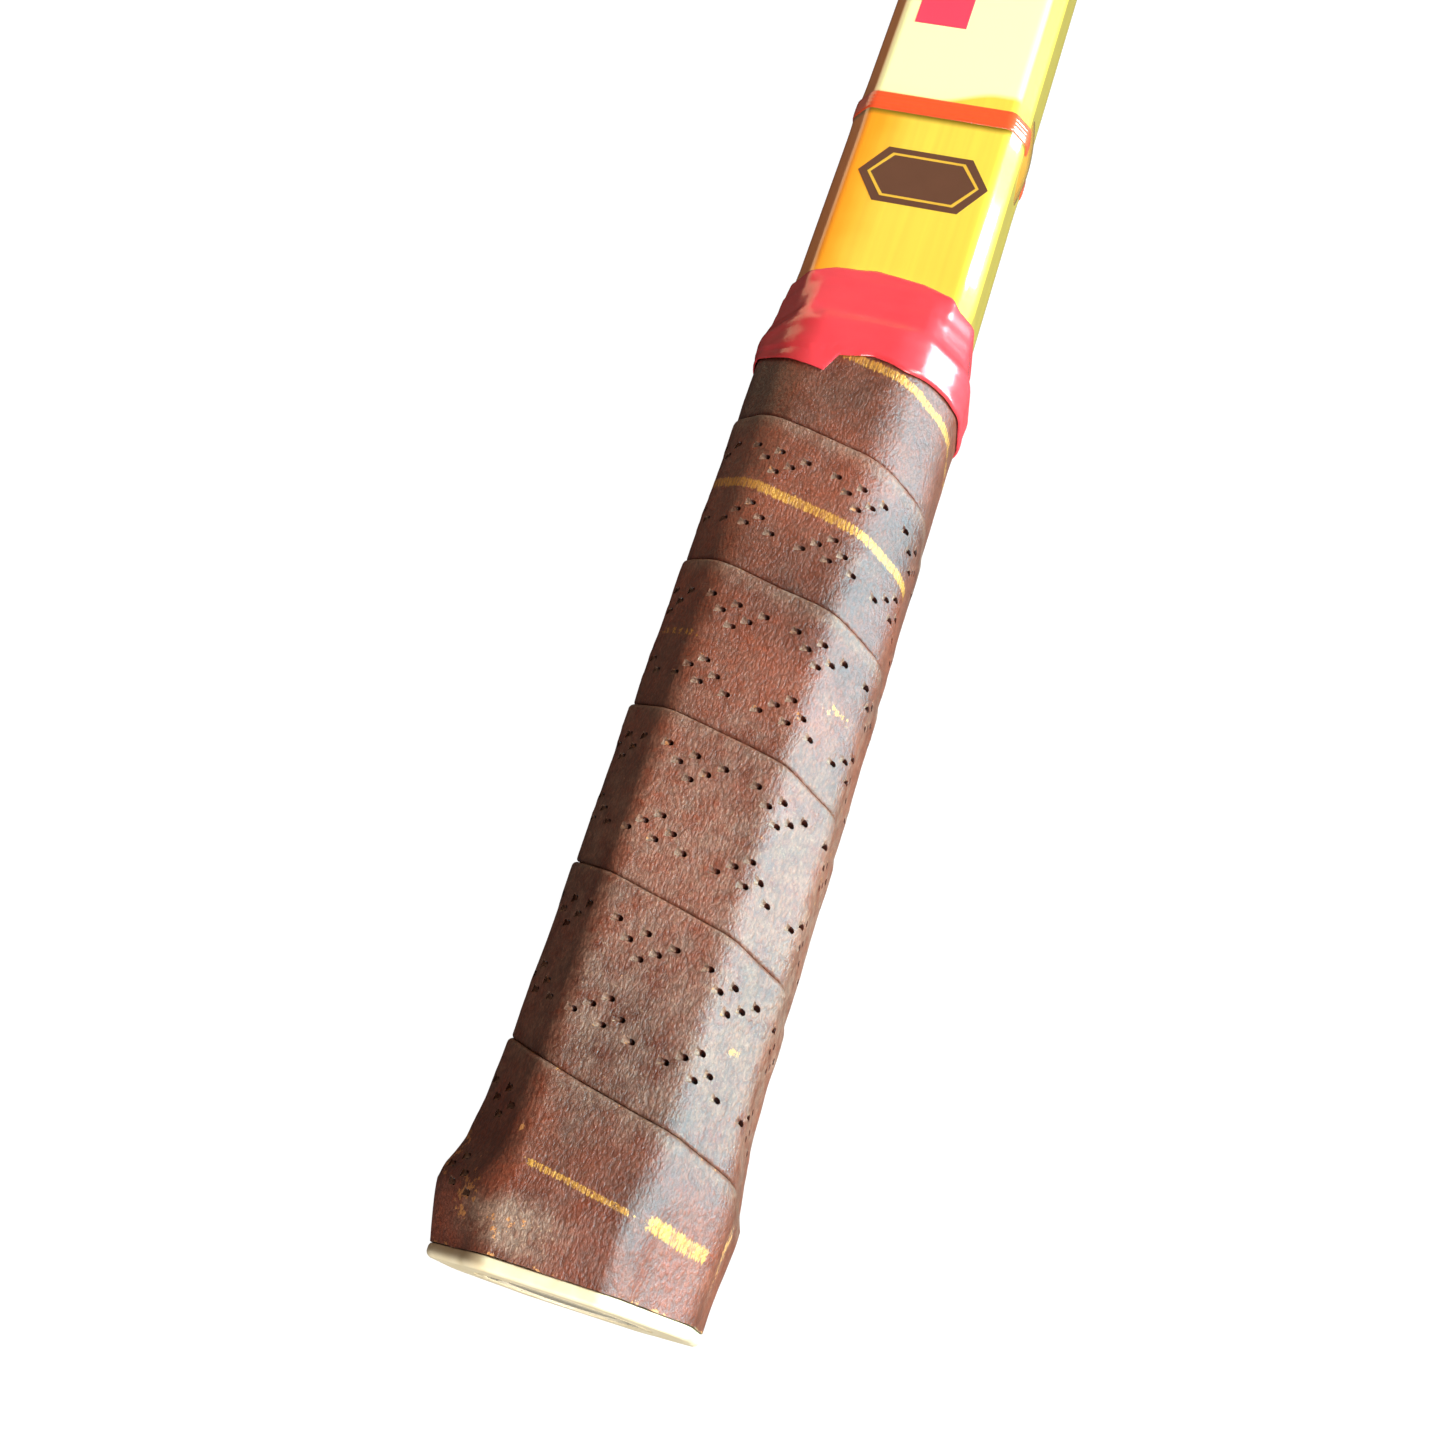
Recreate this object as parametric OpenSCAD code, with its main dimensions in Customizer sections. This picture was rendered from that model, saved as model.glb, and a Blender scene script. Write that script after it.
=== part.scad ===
// Wooden tennis racket: a laminated bow with a throat wedge and built-up handle,
// a leather grip with a moulded butt cap, and a bed of two woven strings.
// The origin is the centre of the butt's end face. +Y runs to the tip, +X across
// the face and +Z out of the front face.

/* [Racket] */
// Length from the butt to the tip
total_len = 686; // [680:1:692]
// Outer width of the head
head_w = 228; // [226:1:230]
// Outer length of the head's oval
head_len = 290; // [288:1:292]
// Radius of the outer outline at the crown and at the shoulders
crown_r = 95; // [94:0.5:96]
// Radius of the hollow curve from the shoulder down to the shaft
throat_r = 150; // [146:1:154]
// Depth of the frame, square to the string bed
frame_depth = 19; // [18:0.5:20]
// Width of the shaft
shaft_w = 30.6; // [30:0.1:31.2]

/* [Laminations] */
// Thickness of the outer ash ply, which holds the string groove
outer_ply_t = 2.4; // [2.2:0.1:2.6]
// Thickness of each wooden ply
wood_ply_t = 2.0; // [1.8:0.1:2.2]
// Thickness of each coloured fibre ply
fibre_ply_t = 0.8; // [0.6:0.1:1]
// Thickness of the ply that lines the oval
liner_t = 1.4; // [1.2:0.1:1.6]

/* [Handle] */
// Half the width of the grip, over the leather
grip_half_w = 17.5; // [17.4:0.1:17.8]
// Half the depth of the grip, over the leather
grip_half_d = 15.3; // [15.2:0.1:15.6]
// Thickness of the leather grip
leather_t = 2; // [1.8:0.1:2]
// Length of the leather, from the butt
leather_len = 153; // [150:1:156]
// How far the flare stands out past the grip at its fullest
flare = 3.6; // [3:0.1:4]
// Thickness of the butt cap's end plate
cap_plate_t = 2; // [1.8:0.1:2.4]
// Length of the butt cap
cap_len = 24; // [22:1:26]
// Radius of the badge that is let into the butt cap
badge_r = 11; // [9:0.5:12]

/* [Tape and band] */
// Where the collar tape starts, from the butt
tape_from = 143.5; // [141:0.5:146]
// Where the collar tape ends, from the butt
tape_to = 169; // [167:0.5:172]
// Thickness of the collar tape's two turns
tape_t = 0.45; // [0.4:0.05:0.5]
// Where the shaft band starts, from the butt
band_from = 205.5; // [200:0.5:215]
// Width of the shaft band
band_w = 4.2; // [3:0.1:5]

/* [Strings] */
// Diameter of the string
string_dia = 1.3; // [1.2:0.05:1.4]
// Distance between main strings
main_pitch = 10.8; // [10.75:0.05:10.85]
// Distance between cross strings
cross_pitch = 12.55; // [12.5:0.05:12.6]
// Diameter of the string holes
hole_dia = 2.4; // [2.2:0.1:2.6]
// Depth of the groove in the outer ply
groove_depth = 1.8; // [1.7:0.05:1.9]

/* [Hidden] */
PLY_COUNT = 6;
$fn = 32;
rad = PI / 180;
over = 1;

// ---- Outline of the frame --------------------------------------------------
// The outline is a chain of tangent arcs: from the shaft a hollow throat arc, a short
// shoulder arc, a long side arc and the crown, and then the same again down the left.
// s is the length along the outline from the top of the straight shaft on the right,
// and d is the depth inwards from the outer face.
half_w = head_w / 2;
half_l = head_len / 2;
mid_y = total_len - half_l;
arc_dy = half_l - crown_r;
side_r = (half_w * half_w + arc_dy * arc_dy - crown_r * crown_r) / (2 * (half_w - crown_r));
side_dx = side_r - half_w;
join_a = atan2(arc_dy, side_dx);
shaft_x = shaft_w / 2;
throat_x = shaft_x + throat_r;
throat_dy = sqrt(pow(crown_r + throat_r, 2) - throat_x * throat_x);
throat_y = mid_y - arc_dy - throat_dy;
throat_a = atan2(throat_dy, throat_x);

len_throat = throat_r * throat_a * rad;
len_shoulder = crown_r * (throat_a - join_a) * rad;
len_side = side_r * 2 * join_a * rad;
s_side = len_throat + len_shoulder;
s_crown = s_side + len_side;
s_total = 2 * s_crown + crown_r * (180 - 2 * join_a) * rad;

function on_arc(c, r, a) = [c[0] + r * cos(a), c[1] + r * sin(a)];
function flip(p) = [-p[0], p[1]];
function at_z(p, z) = [p[0], p[1], z];
function outline(s, d) =
    s > s_total / 2 ? flip(outline(s_total - s, d)) :
    s < len_throat ? on_arc([throat_x, throat_y], throat_r + d, 180 - s / throat_r / rad) :
    s < s_side ? on_arc([0, mid_y - arc_dy], crown_r - d, -throat_a + (s - len_throat) / crown_r / rad) :
    s < s_crown ? on_arc([-side_dx, mid_y], side_r - d, -join_a + (s - s_side) / side_r / rad) :
    on_arc([0, mid_y + arc_dy], crown_r - d, join_a + (s - s_crown) / crown_r / rad);
function outline_run(s0, s1, d, n) = [for (k = [0:n]) outline(s0 + (s1 - s0) * k / n, d)];
function reversed(v) = [for (k = [len(v) - 1:-1:0]) v[k]];

// The plies, from the outside in
ply_t = [outer_ply_t, fibre_ply_t, wood_ply_t, wood_ply_t, fibre_ply_t, wood_ply_t];
function depth_to(i) = i == 0 ? 0 : ply_t[i - 1] + depth_to(i - 1);
bow_t = depth_to(PLY_COUNT);
frame_t = bow_t + liner_t;
core_half = shaft_x - bow_t;
OUTLINE_STEPS = 96;
face_z = frame_depth / 2;

// ---- Handle sections -------------------------------------------------------
// A section is [half width, half depth, half of the broad flat, half of the side flat].
wood_sec = [shaft_x, 13.5, 9, 6.5];
grip_sec = [grip_half_w, grip_half_d, 9.7, 7.2];
// The shaft is the handle's wood, cut off at the frame's two faces
bevel_slope = (wood_sec[0] - wood_sec[2]) / (wood_sec[1] - wood_sec[3]);
shaft_flat = shaft_x - bevel_slope * (face_z - wood_sec[3]);
shaft_sec = [shaft_x, face_z, shaft_flat, wood_sec[3]];
pallet_end = 168;
pallet_run = 18;
socket_wall = 0.4;
band_t = 0.4;

function grown(sec, t) = let (flat = t * tan(22.5)) [sec[0] + t, sec[1] + t, sec[2] + flat, sec[3] + flat];
function ring(y, sec) = let (a = sec[0], h = sec[1], f = sec[2], s = sec[3])
    [[f, y, h], [a, y, s], [a, y, -s], [f, y, -h], [-f, y, -h], [-a, y, -s], [-a, y, s], [-f, y, h]];

// The flare at the butt: the distance along the handle, and the share of the flare there
flare_run = [[cap_plate_t, 0.78], [8, 1], [13, 0.84], [20, 0.36], [27, 0]];
function flare_at(y) = flare * lookup(y, flare_run);
function flare_rings(inset) = [for (f = flare_run) [f[0], grown(grip_sec, flare * f[1] - inset)]];
// The butt cap's skirt, which the leather covers, and the wooden handle above it
skirt_rings = [for (r = flare_rings(leather_t)) if (r[0] < cap_len) r];
skirt_end = [cap_len, grown(wood_sec, socket_wall)];

// One closed solid through a list of [y, section] rings
module loft(rings) {
    n = len(rings);
    pts = [for (r = rings) each ring(r[0], r[1])];
    sides = [for (k = [0:n - 2], i = [0:7])
        [8 * k + i, 8 * k + 8 + i, 8 * k + 8 + (i + 1) % 8, 8 * k + (i + 1) % 8]];
    polyhedron(pts, concat([[0, 1, 2, 3, 4, 5, 6, 7]], sides, [[for (i = [7:-1:0]) 8 * (n - 1) + i]]));
}

// A straight eight-sided bar along Y
module section_bar(sec, y0, y1) {
    translate([0, y1, 0]) rotate([90, 0, 0]) linear_extrude(y1 - y0)
        polygon([for (p = ring(0, sec)) [p[0], p[2]]]);
}

// ---- String holes ----------------------------------------------------------
mains = 18;
crosses = 19;
string_r = string_dia / 2;
string_d = 0.95;
groove_run_in = 6;
string_lift = 1.45;
knot_r = 1.1;
knot_h = 0.8;
throat_mains = 5;
// Angles round the throat arc at which the throat's main strings come out, in degrees
throat_first_a = 24.5;
throat_step_a = 4.5;
inner_crown_r = crown_r - frame_t;
inner_side_r = side_r - frame_t;

function main_x(k) = (k - (mains - 1) / 2) * main_pitch;
function cross_dy(j) = (j - (crosses - 1) / 2) * cross_pitch;

// Angle of the outward normal where the inner oval is x from the centre line
function normal_at_x(x) =
    x <= inner_crown_r * cos(join_a) ? acos(x / inner_crown_r) : acos((x + side_dx) / inner_side_r);
// The same, dy above the oval's centre
function normal_at_dy(dy) =
    dy <= inner_side_r * sin(join_a) ? asin(dy / inner_side_r) : asin((dy - arc_dy) / inner_crown_r);
function inner_point(a) =
    a > join_a ? [inner_crown_r * cos(a), arc_dy + inner_crown_r * sin(a)]
               : [inner_side_r * cos(a) - side_dx, inner_side_r * sin(a)];
function s_of_normal(a) =
    a > join_a ? s_crown + crown_r * (a - join_a) * rad :
    a > -join_a ? s_side + side_r * (a + join_a) * rad :
    len_throat + crown_r * (a + throat_a) * rad;

// A mouth is [point on the inner oval, s where the hole leaves the outer face]
function main_top(x) = x < 0 ? let (m = main_top(-x)) [flip(m[0]), s_total - m[1]] :
    let (a = normal_at_x(x), p = inner_point(a)) [[p[0], mid_y + p[1]], s_of_normal(a)];
function throat_exit(x) = throat_r * (throat_first_a + throat_step_a * (x / main_pitch - 0.5)) * rad;
function main_bottom(x) = x < 0 ? let (m = main_bottom(-x)) [flip(m[0]), s_total - m[1]] :
    let (a = normal_at_x(x), p = inner_point(a))
    [[p[0], mid_y - p[1]], x < throat_mains * main_pitch ? throat_exit(x) : s_of_normal(-a)];
function cross_right(dy) =
    let (a = normal_at_dy(abs(dy)), p = inner_point(a), up = dy < 0 ? -1 : 1)
    [[p[0], mid_y + up * p[1]], s_of_normal(up * a)];
function cross_left(dy) = let (m = cross_right(dy)) [flip(m[0]), s_total - m[1]];

function mouths() = concat(
    [for (k = [0:mains - 1]) each [main_top(main_x(k)), main_bottom(main_x(k))]],
    [for (j = [0:crosses - 1]) each [cross_left(cross_dy(j)), cross_right(cross_dy(j))]]);

// Places its children on the mouth's way out, d deep in the outer ply, with +Z pointing out
module at_mouth(m, d) {
    q = outline(m[1], d);
    way = outline(m[1], 0) - m[0];
    translate(at_z(q, 0)) rotate([0, 0, atan2(way[1], way[0])]) rotate([0, 90, 0]) children();
}

module string_holes() {
    spare = 4;
    for (m = mouths()) {
        through = norm(outline(m[1], 0) - m[0]) + spare;
        at_mouth(m, 0) translate([0, 0, -through]) cylinder(d = hole_dia, h = through + spare, $fn = 24);
    }
}

// ---- Bow, liner and wedge --------------------------------------------------
// The bow below the throat keeps the bevels of the handle and shaft
module bevelled_shaft_space() {
    section_bar(wood_sec, cap_plate_t, throat_y);
    translate([-half_w, throat_y, -frame_depth])
        cube([head_w, total_len - throat_y + over, 2 * frame_depth]);
}

module bow_strip(d0, d1) {
    leg = [for (x = [shaft_x - d0, shaft_x - d1]) [x, cap_plate_t]];
    linear_extrude(frame_depth, center = true)
        polygon(concat([leg[0]], outline_run(0, s_total, d0, OUTLINE_STEPS), [flip(leg[0]), flip(leg[1])],
                       reversed(outline_run(0, s_total, d1, OUTLINE_STEPS)), [leg[1]]));
}

module string_groove() {
    s0 = throat_exit(main_pitch / 2) - groove_run_in;
    linear_extrude(2 * (string_lift + 1), center = true)
        polygon(concat(outline_run(s0, s_total - s0, -over, OUTLINE_STEPS),
                       reversed(outline_run(s0, s_total - s0, groove_depth, OUTLINE_STEPS))));
}

ply_colours = ["#d9b26a", "#8c1f1a", "#e0bd7c", "#d2a75e", "#8c1f1a", "#dcb875"];

module bow_ply(i) {
    color(ply_colours[i - 1]) difference() {
        intersection() {
            bow_strip(depth_to(i - 1), depth_to(i));
            bevelled_shaft_space();
        }
        if (i == 1) string_groove();
        string_holes();
    }
}

function oval(d) = concat(
    [for (k = [0:15]) on_arc([-side_dx, 0], side_r - d, -join_a + 2 * join_a * k / 16)],
    [for (k = [0:23]) on_arc([0, arc_dy], crown_r - d, join_a + (180 - 2 * join_a) * k / 24)],
    [for (k = [0:15]) on_arc([side_dx, 0], side_r - d, 180 - join_a + 2 * join_a * k / 16)],
    [for (k = [0:23]) on_arc([0, -arc_dy], crown_r - d, 180 + join_a + (180 - 2 * join_a) * k / 24)]);

module hoop_liner() {
    color("#d8b06a") difference() {
        translate([0, mid_y, 0]) linear_extrude(frame_depth, center = true) difference() {
            polygon(oval(bow_t));
            polygon(oval(frame_t));
        }
        string_holes();
    }
}

module throat_wedge() {
    top_steps = 24;
    leg = outline_run(0, len_throat, bow_t, 16);
    top = [for (k = [0:top_steps])
        on_arc([0, mid_y - arc_dy], crown_r - bow_t, -throat_a - (180 - 2 * throat_a) * k / top_steps)];
    color("#7a3b1e") difference() {
        linear_extrude(frame_depth, center = true)
            polygon(concat(leg, top, reversed([for (p = leg) flip(p)])));
        string_holes();
    }
}

module shaft_core() {
    color("#e3c083") translate([-core_half, cap_plate_t, -frame_depth / 2])
        cube([2 * core_half, throat_y - cap_plate_t, frame_depth]);
}

// ---- Handle ----------------------------------------------------------------
tack_y = 10;
tack_x = 6;
tack_r = 0.7;
tack_head_r = 1.8;
tack_head_t = 0.6;
tack_len = 6.4;
grip_tack_y = 5.5;
grip_tack_head_r = 1.5;
grip_tack_len = 4.5;
pallet_tip_t = 0.4;
badge_t = 1;
grip_tack_sunk = 0.4;
lip_round = 0.7;
// Height over the broad flat of the skirt at its tacks, and of the leather at its own
skirt_top = grip_half_d + flare_at(tack_y) - leather_t - tack_head_t;
leather_top = grip_half_d + flare_at(grip_tack_y) - grip_tack_sunk;

module on_both_faces() {
    children();
    mirror([0, 0, 1]) children();
}

module tack(top, head_r, length) {
    translate([0, 0, top - length]) cylinder(r = tack_r, h = length);
    translate([0, 0, top - tack_head_t]) cylinder(r = head_r, h = tack_head_t);
}

module at_cap_tacks() {
    on_both_faces() for (x = [-tack_x, tack_x]) translate([x, tack_y, 0]) children();
}

module at_grip_tack() {
    translate([0, grip_tack_y, 0]) mirror([0, 0, 1]) children();
}

// A pallet fills the handle out from the bow's face, and slopes down under the collar tape
module pallet() {
    color("#c99a5b") difference() {
        intersection() {
            section_bar(wood_sec, cap_plate_t, pallet_end);
            translate([-shaft_x, 0, 0]) rotate([90, 0, 90]) linear_extrude(shaft_w)
                polygon([[cap_plate_t, face_z], [pallet_end, face_z], [pallet_end, face_z + pallet_tip_t],
                         [pallet_end - pallet_run, wood_sec[1]], [cap_plate_t, wood_sec[1]]]);
        }
        at_cap_tacks() cylinder(r = tack_r, h = wood_sec[1] + over);
    }
}

module pallet_front() { pallet(); }
module pallet_back() { mirror([0, 0, 1]) pallet(); }

module butt_cap() {
    lip = grown(grip_sec, flare_at(cap_plate_t));
    color("#efe3c2") difference() {
        union() {
            loft([[0, grown(lip, -lip_round)], [lip_round, lip], [cap_plate_t, lip]]);
            loft(concat(skirt_rings, [skirt_end]));
        }
        section_bar(wood_sec, cap_plate_t, cap_len + over);
        translate([0, -over, 0]) rotate([-90, 0, 0]) cylinder(r = badge_r, h = over + badge_t);
        at_cap_tacks() {
            cylinder(r = tack_r, h = skirt_top);
            translate([0, 0, skirt_top - tack_head_t]) cylinder(r = tack_head_r, h = leather_t);
        }
        at_grip_tack() cylinder(r = tack_r, h = leather_top);
    }
}

module butt_badge() {
    color("#6b1d16") rotate([-90, 0, 0]) cylinder(r = badge_r, h = badge_t);
}

module butt_cap_tacks() {
    color("#b8893b") at_cap_tacks() tack(skirt_top, tack_head_r, tack_len);
}

module grip_leather() {
    color("#5a2c22") difference() {
        loft(concat(flare_rings(0), [[leather_len, grip_sec]]));
        loft(concat([[cap_plate_t - over, skirt_rings[0][1]]], skirt_rings,
                    [skirt_end, [cap_len + over, wood_sec], [leather_len + over, wood_sec]]));
        at_grip_tack() {
            cylinder(r = tack_r, h = leather_top);
            translate([0, 0, leather_top - tack_head_t]) cylinder(r = grip_tack_head_r, h = leather_t);
        }
    }
}

module grip_tack() {
    color("#b8893b") at_grip_tack() tack(leather_top, grip_tack_head_r, grip_tack_len);
}

// ---- Tape, band and its tail -----------------------------------------------
// The tape steps down off the leather's end and the pallets on to the shaft
tape_gap = 0.02;
function tape_rings(t) = [
    [tape_from, grown(grip_sec, t)],
    [leather_len, grown(grip_sec, t)],
    [leather_len + 4, grown([grip_half_w - 1.1, grip_half_d - 1.5, 10.3, 6.9], t)],
    [tape_to - 3, grown([shaft_x, face_z + 1.4, 12, 6.6], t)],
    [tape_to, grown(shaft_sec, t + 0.3)]];

module collar_tape() {
    rings = tape_rings(tape_gap);
    last = len(rings) - 1;
    color("#c4232b") difference() {
        loft(tape_rings(tape_gap + tape_t));
        loft(concat([[tape_from - over, rings[0][1]]], [for (k = [1:last - 1]) rings[k]],
                    [[tape_to + over, rings[last][1]]]));
    }
}

module shaft_band() {
    color("#d8432a") difference() {
        section_bar(grown(shaft_sec, band_t), band_from, band_from + band_w);
        section_bar(shaft_sec, band_from - over, band_from + band_w + over);
    }
}

// The band's end is tucked flat on the right side of the shaft under a lens of lacquer
module band_tail() {
    reach = 10;
    stand = 1.2;
    lens_r = (reach * reach + stand * stand) / (2 * stand);
    lens_a = asin(reach / lens_r);
    color("#c9862a") difference() {
        translate([shaft_x + stand - lens_r, band_from + band_w / 2, 0])
            linear_extrude(2 * shaft_sec[3] - 1, center = true)
                polygon([for (k = [-8:8]) lens_r * [cos(lens_a * k / 8), sin(lens_a * k / 8)]]);
        section_bar(grown(shaft_sec, band_t), band_from, band_from + band_w);
    }
}

// ---- Strings ---------------------------------------------------------------
STRING_SIDES = 8;
TURN_STEPS = 5;
cross_lift = string_dia + 0.1;

// A tube of round section along a list of points
module tube(path, r) {
    n = len(path);
    m = STRING_SIDES;
    function unit(v) = v / norm(v);
    function leg(k) = unit(path[min(k + 1, n - 1)] - path[min(k, n - 2)]);
    function heading(k) = unit(leg(max(k - 1, 0)) + leg(k));
    function bend_ring(k) = let (
            t = heading(k), u = unit(cross(t, [0, 0, 1])), w = cross(u, t),
            stretch = 1 / max(0.6, t * leg(k)))
        [for (i = [0:m - 1]) path[k] + r * (stretch * cos(360 * i / m) * u + sin(360 * i / m) * w)];
    pts = [for (k = [0:n - 1]) each bend_ring(k)];
    sides = [for (k = [0:n - 2], i = [0:m - 1])
        [m * k + i, m * k + (i + 1) % m, m * k + m + (i + 1) % m, m * k + m + i]];
    polyhedron(pts, concat([[for (i = [m - 1:-1:0]) i]], sides, [[for (i = [0:m - 1]) m * (n - 1) + i]]));
}

// The turn in the groove from one hole to the next
function turn(s0, s1, z) =
    [for (k = [1:TURN_STEPS - 1]) at_z(outline(s0 + (s1 - s0) * k / TURN_STEPS, string_d), z)];
function out_point(m) = at_z(outline(m[1], string_d), 0);

function main_path() = [for (k = [0:mains - 1]) let (
        up = k % 2 == 0,
        low = main_bottom(main_x(k)),
        high = main_top(main_x(k)),
        from = up ? low : high,
        to = up ? high : low,
        next = k == mains - 1 ? to : up ? main_top(main_x(k + 1)) : main_bottom(main_x(k + 1)))
    each concat([out_point(from), at_z(from[0], 0), at_z(to[0], 0), out_point(to)],
                k == mains - 1 ? [] : turn(to[1], next[1], string_lift))];

function woven(j, m0, m1) = [for (k = [0:mains - 1]) let (i = m0[0][0] < 0 ? k : mains - 1 - k)
    if (abs(main_x(i)) < abs(m0[0][0]) - 2) [main_x(i), m0[0][1], ((i + j) % 2 == 0 ? 1 : -1) * cross_lift]];

function cross_path() = [for (j = [0:crosses - 1]) let (
        right = j % 2 == 0,
        from = right ? cross_left(cross_dy(j)) : cross_right(cross_dy(j)),
        to = right ? cross_right(cross_dy(j)) : cross_left(cross_dy(j)),
        dy = cross_dy(min(j + 1, crosses - 1)),
        next = right ? cross_right(dy) : cross_left(dy))
    each concat([out_point(from), at_z(from[0], 0)], woven(j, from, to), [at_z(to[0], 0), out_point(to)],
                j == crosses - 1 ? [] : turn(to[1], next[1], -string_lift))];

module main_string() { color("#e8dcb8") tube(main_path(), string_r); }
module cross_string() { color("#e8dcb8") tube(cross_path(), string_r); }

// Each string's two ends are tied off in the groove
module tie_knots() {
    ends = [main_bottom(main_x(0)), main_bottom(main_x(mains - 1)),
            cross_left(cross_dy(0)), cross_right(cross_dy(crosses - 1))];
    color("#d8c99c") for (m = ends) at_mouth(m, string_d) cylinder(r = knot_r, h = knot_h);
}

for (i = [1:PLY_COUNT]) bow_ply(i);
hoop_liner();
throat_wedge();
shaft_core();
pallet_front();
pallet_back();
butt_cap();
butt_badge();
butt_cap_tacks();
grip_leather();
grip_tack();
collar_tape();
shaft_band();
band_tail();
main_string();
cross_string();
tie_knots();
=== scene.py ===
import math

import bmesh
import bpy
import numpy as np
from mathutils import Euler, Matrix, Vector


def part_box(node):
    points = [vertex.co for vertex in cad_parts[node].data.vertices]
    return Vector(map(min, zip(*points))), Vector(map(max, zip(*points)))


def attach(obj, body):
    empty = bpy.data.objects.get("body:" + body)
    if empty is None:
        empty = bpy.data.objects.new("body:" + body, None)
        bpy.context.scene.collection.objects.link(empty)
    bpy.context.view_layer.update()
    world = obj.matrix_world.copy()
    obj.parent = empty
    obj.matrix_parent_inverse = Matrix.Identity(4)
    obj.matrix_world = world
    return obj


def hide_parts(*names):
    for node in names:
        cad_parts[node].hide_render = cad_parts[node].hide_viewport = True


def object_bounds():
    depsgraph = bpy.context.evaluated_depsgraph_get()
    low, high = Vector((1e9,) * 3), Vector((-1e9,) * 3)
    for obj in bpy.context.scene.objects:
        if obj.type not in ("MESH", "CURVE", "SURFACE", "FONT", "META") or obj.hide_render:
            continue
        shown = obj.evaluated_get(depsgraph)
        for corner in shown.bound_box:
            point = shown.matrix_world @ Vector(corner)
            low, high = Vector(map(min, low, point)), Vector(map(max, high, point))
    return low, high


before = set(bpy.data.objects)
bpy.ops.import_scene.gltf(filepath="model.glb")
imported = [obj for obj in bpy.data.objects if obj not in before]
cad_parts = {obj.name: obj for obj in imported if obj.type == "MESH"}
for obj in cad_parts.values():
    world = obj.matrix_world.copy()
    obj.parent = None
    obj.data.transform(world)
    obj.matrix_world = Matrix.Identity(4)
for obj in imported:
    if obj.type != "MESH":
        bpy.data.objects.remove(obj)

# Wooden tennis racket: lacquered bow of bent plies, painted shaft, spiral leather grip
# with gilt line and perforations, collar tape, moulded butt cap and woven strings.
# Sizes here are in millimetres until a mesh is made; the frame is in metres.
# +Y runs from the butt to the tip, +X across the face, +Z out of the front face.

bl_info = {
    "name": "Wooden Tennis Racket",
    "version": (1, 0, 0),
    "blender": (4, 5, 0),
    "location": "View3D > Sidebar > Racket",
    "description": "Builds the looks of a wooden tennis racket around its packed frame",
    "category": "Add Mesh",
}

MM = 0.001
CAD_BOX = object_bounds()
BODY = "root"
SEED = 7


def srgb(code):
    """Linear colour from an sRGB hex code."""
    parts = [int(code[i:i + 2], 16) / 255 for i in (1, 3, 5)]
    return tuple(p / 12.92 if p <= 0.04045 else ((p + 0.055) / 1.055) ** 2.4 for p in parts)


def corners_mm(node):
    low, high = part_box(node)
    return np.array(low) / MM, np.array(high) / MM


# ---- Sizes and colours that a user would change ----------------------------

def length_prop(name, description, default_mm):
    return bpy.props.FloatProperty(name=name, description=description, default=default_mm * MM,
                                   min=0, precision=5, subtype="DISTANCE", unit="LENGTH")


def colour_prop(name, description, code):
    return bpy.props.FloatVectorProperty(name=name, description=description, size=3, min=0, max=1,
                                         default=srgb(code), subtype="COLOR")


class RacketFrameSettings(bpy.types.PropertyGroup):
    edge_round: length_prop("Edge rounding", "Radius on the bow's outer edges", 2.2)
    bore: length_prop("String hole", "Diameter of the string holes", 2.4)
    ash: colour_prop("Ash", "Colour of the outer and inner ash plies", "#E3B25C")
    ash_grain: colour_prop("Ash grain", "Colour of the ash's grain lines", "#B37A31")
    beech: colour_prop("Beech", "Colour of the beech ply", "#D6A05A")
    fibre: colour_prop("Fibre", "Colour of the dyed fibre plies", "#7E1A18")
    mahogany: colour_prop("Mahogany", "Colour of the throat wedge", "#7A3420")


class RacketShaftSettings(bpy.types.PropertyGroup):
    coat: length_prop("Lacquer thickness", "Thickness of the shaft's coloured lacquer", 0.3)
    amber: colour_prop("Amber", "Colour of the tinted lacquer", "#FFCE4A")
    # The amber edge colour is painted shade: the deeper orange on the shaft's left side, away from the light
    amber_shaded: colour_prop("Amber edge", "Colour where the tinted lacquer is deep", "#FF9A1E")
    cream: colour_prop("Cream", "Colour of the pale panel above the band", "#FFF9B8")
    band: colour_prop("Band", "Colour of the thread band", "#FF5A2C")
    plaque: colour_prop("Plaque", "Colour of the plain plaque", "#6A4230")
    bars: colour_prop("Bars", "Colour of the stepped bars", "#FF4660")


class RacketGripSettings(bpy.types.PropertyGroup):
    corner: length_prop("Corner rounding", "Radius of the leather over the handle's corners", 3.2)
    rim_stand: length_prop("Overlap stand", "How far a strip's upper edge stands up", 0.24)
    cluster_pitch: length_prop("Perforation pitch", "Distance between groups of perforations", 14.25)
    leather: colour_prop("Leather", "Colour of the calf leather", "#99482D")
    leather_dark: colour_prop("Leather, soiled", "Colour of the leather where hands have darkened it",
                              "#6A301C")
    leather_worn: colour_prop("Leather, rubbed", "Colour of the leather where it is rubbed", "#A88470")
    gilt: colour_prop("Gilt", "Colour of the stamped line", "#EBAA4C")


class RacketCollarSettings(bpy.types.PropertyGroup):
    ply: length_prop("Tape thickness", "Thickness of one turn of tape", 0.22)
    tape: colour_prop("Tape", "Colour of the vinyl tape", "#F24A52")


class RacketButtSettings(bpy.types.PropertyGroup):
    moulding: colour_prop("Moulding", "Colour of the butt cap", "#FBF3DA")
    badge: colour_prop("Badge", "Colour of the plain badge", "#F0E6CC")


class RacketStringSettings(bpy.types.PropertyGroup):
    gauge: length_prop("String diameter", "Diameter of the string", 1.3)
    gut: colour_prop("Gut", "Colour of the string", "#E9D9A8")


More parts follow.
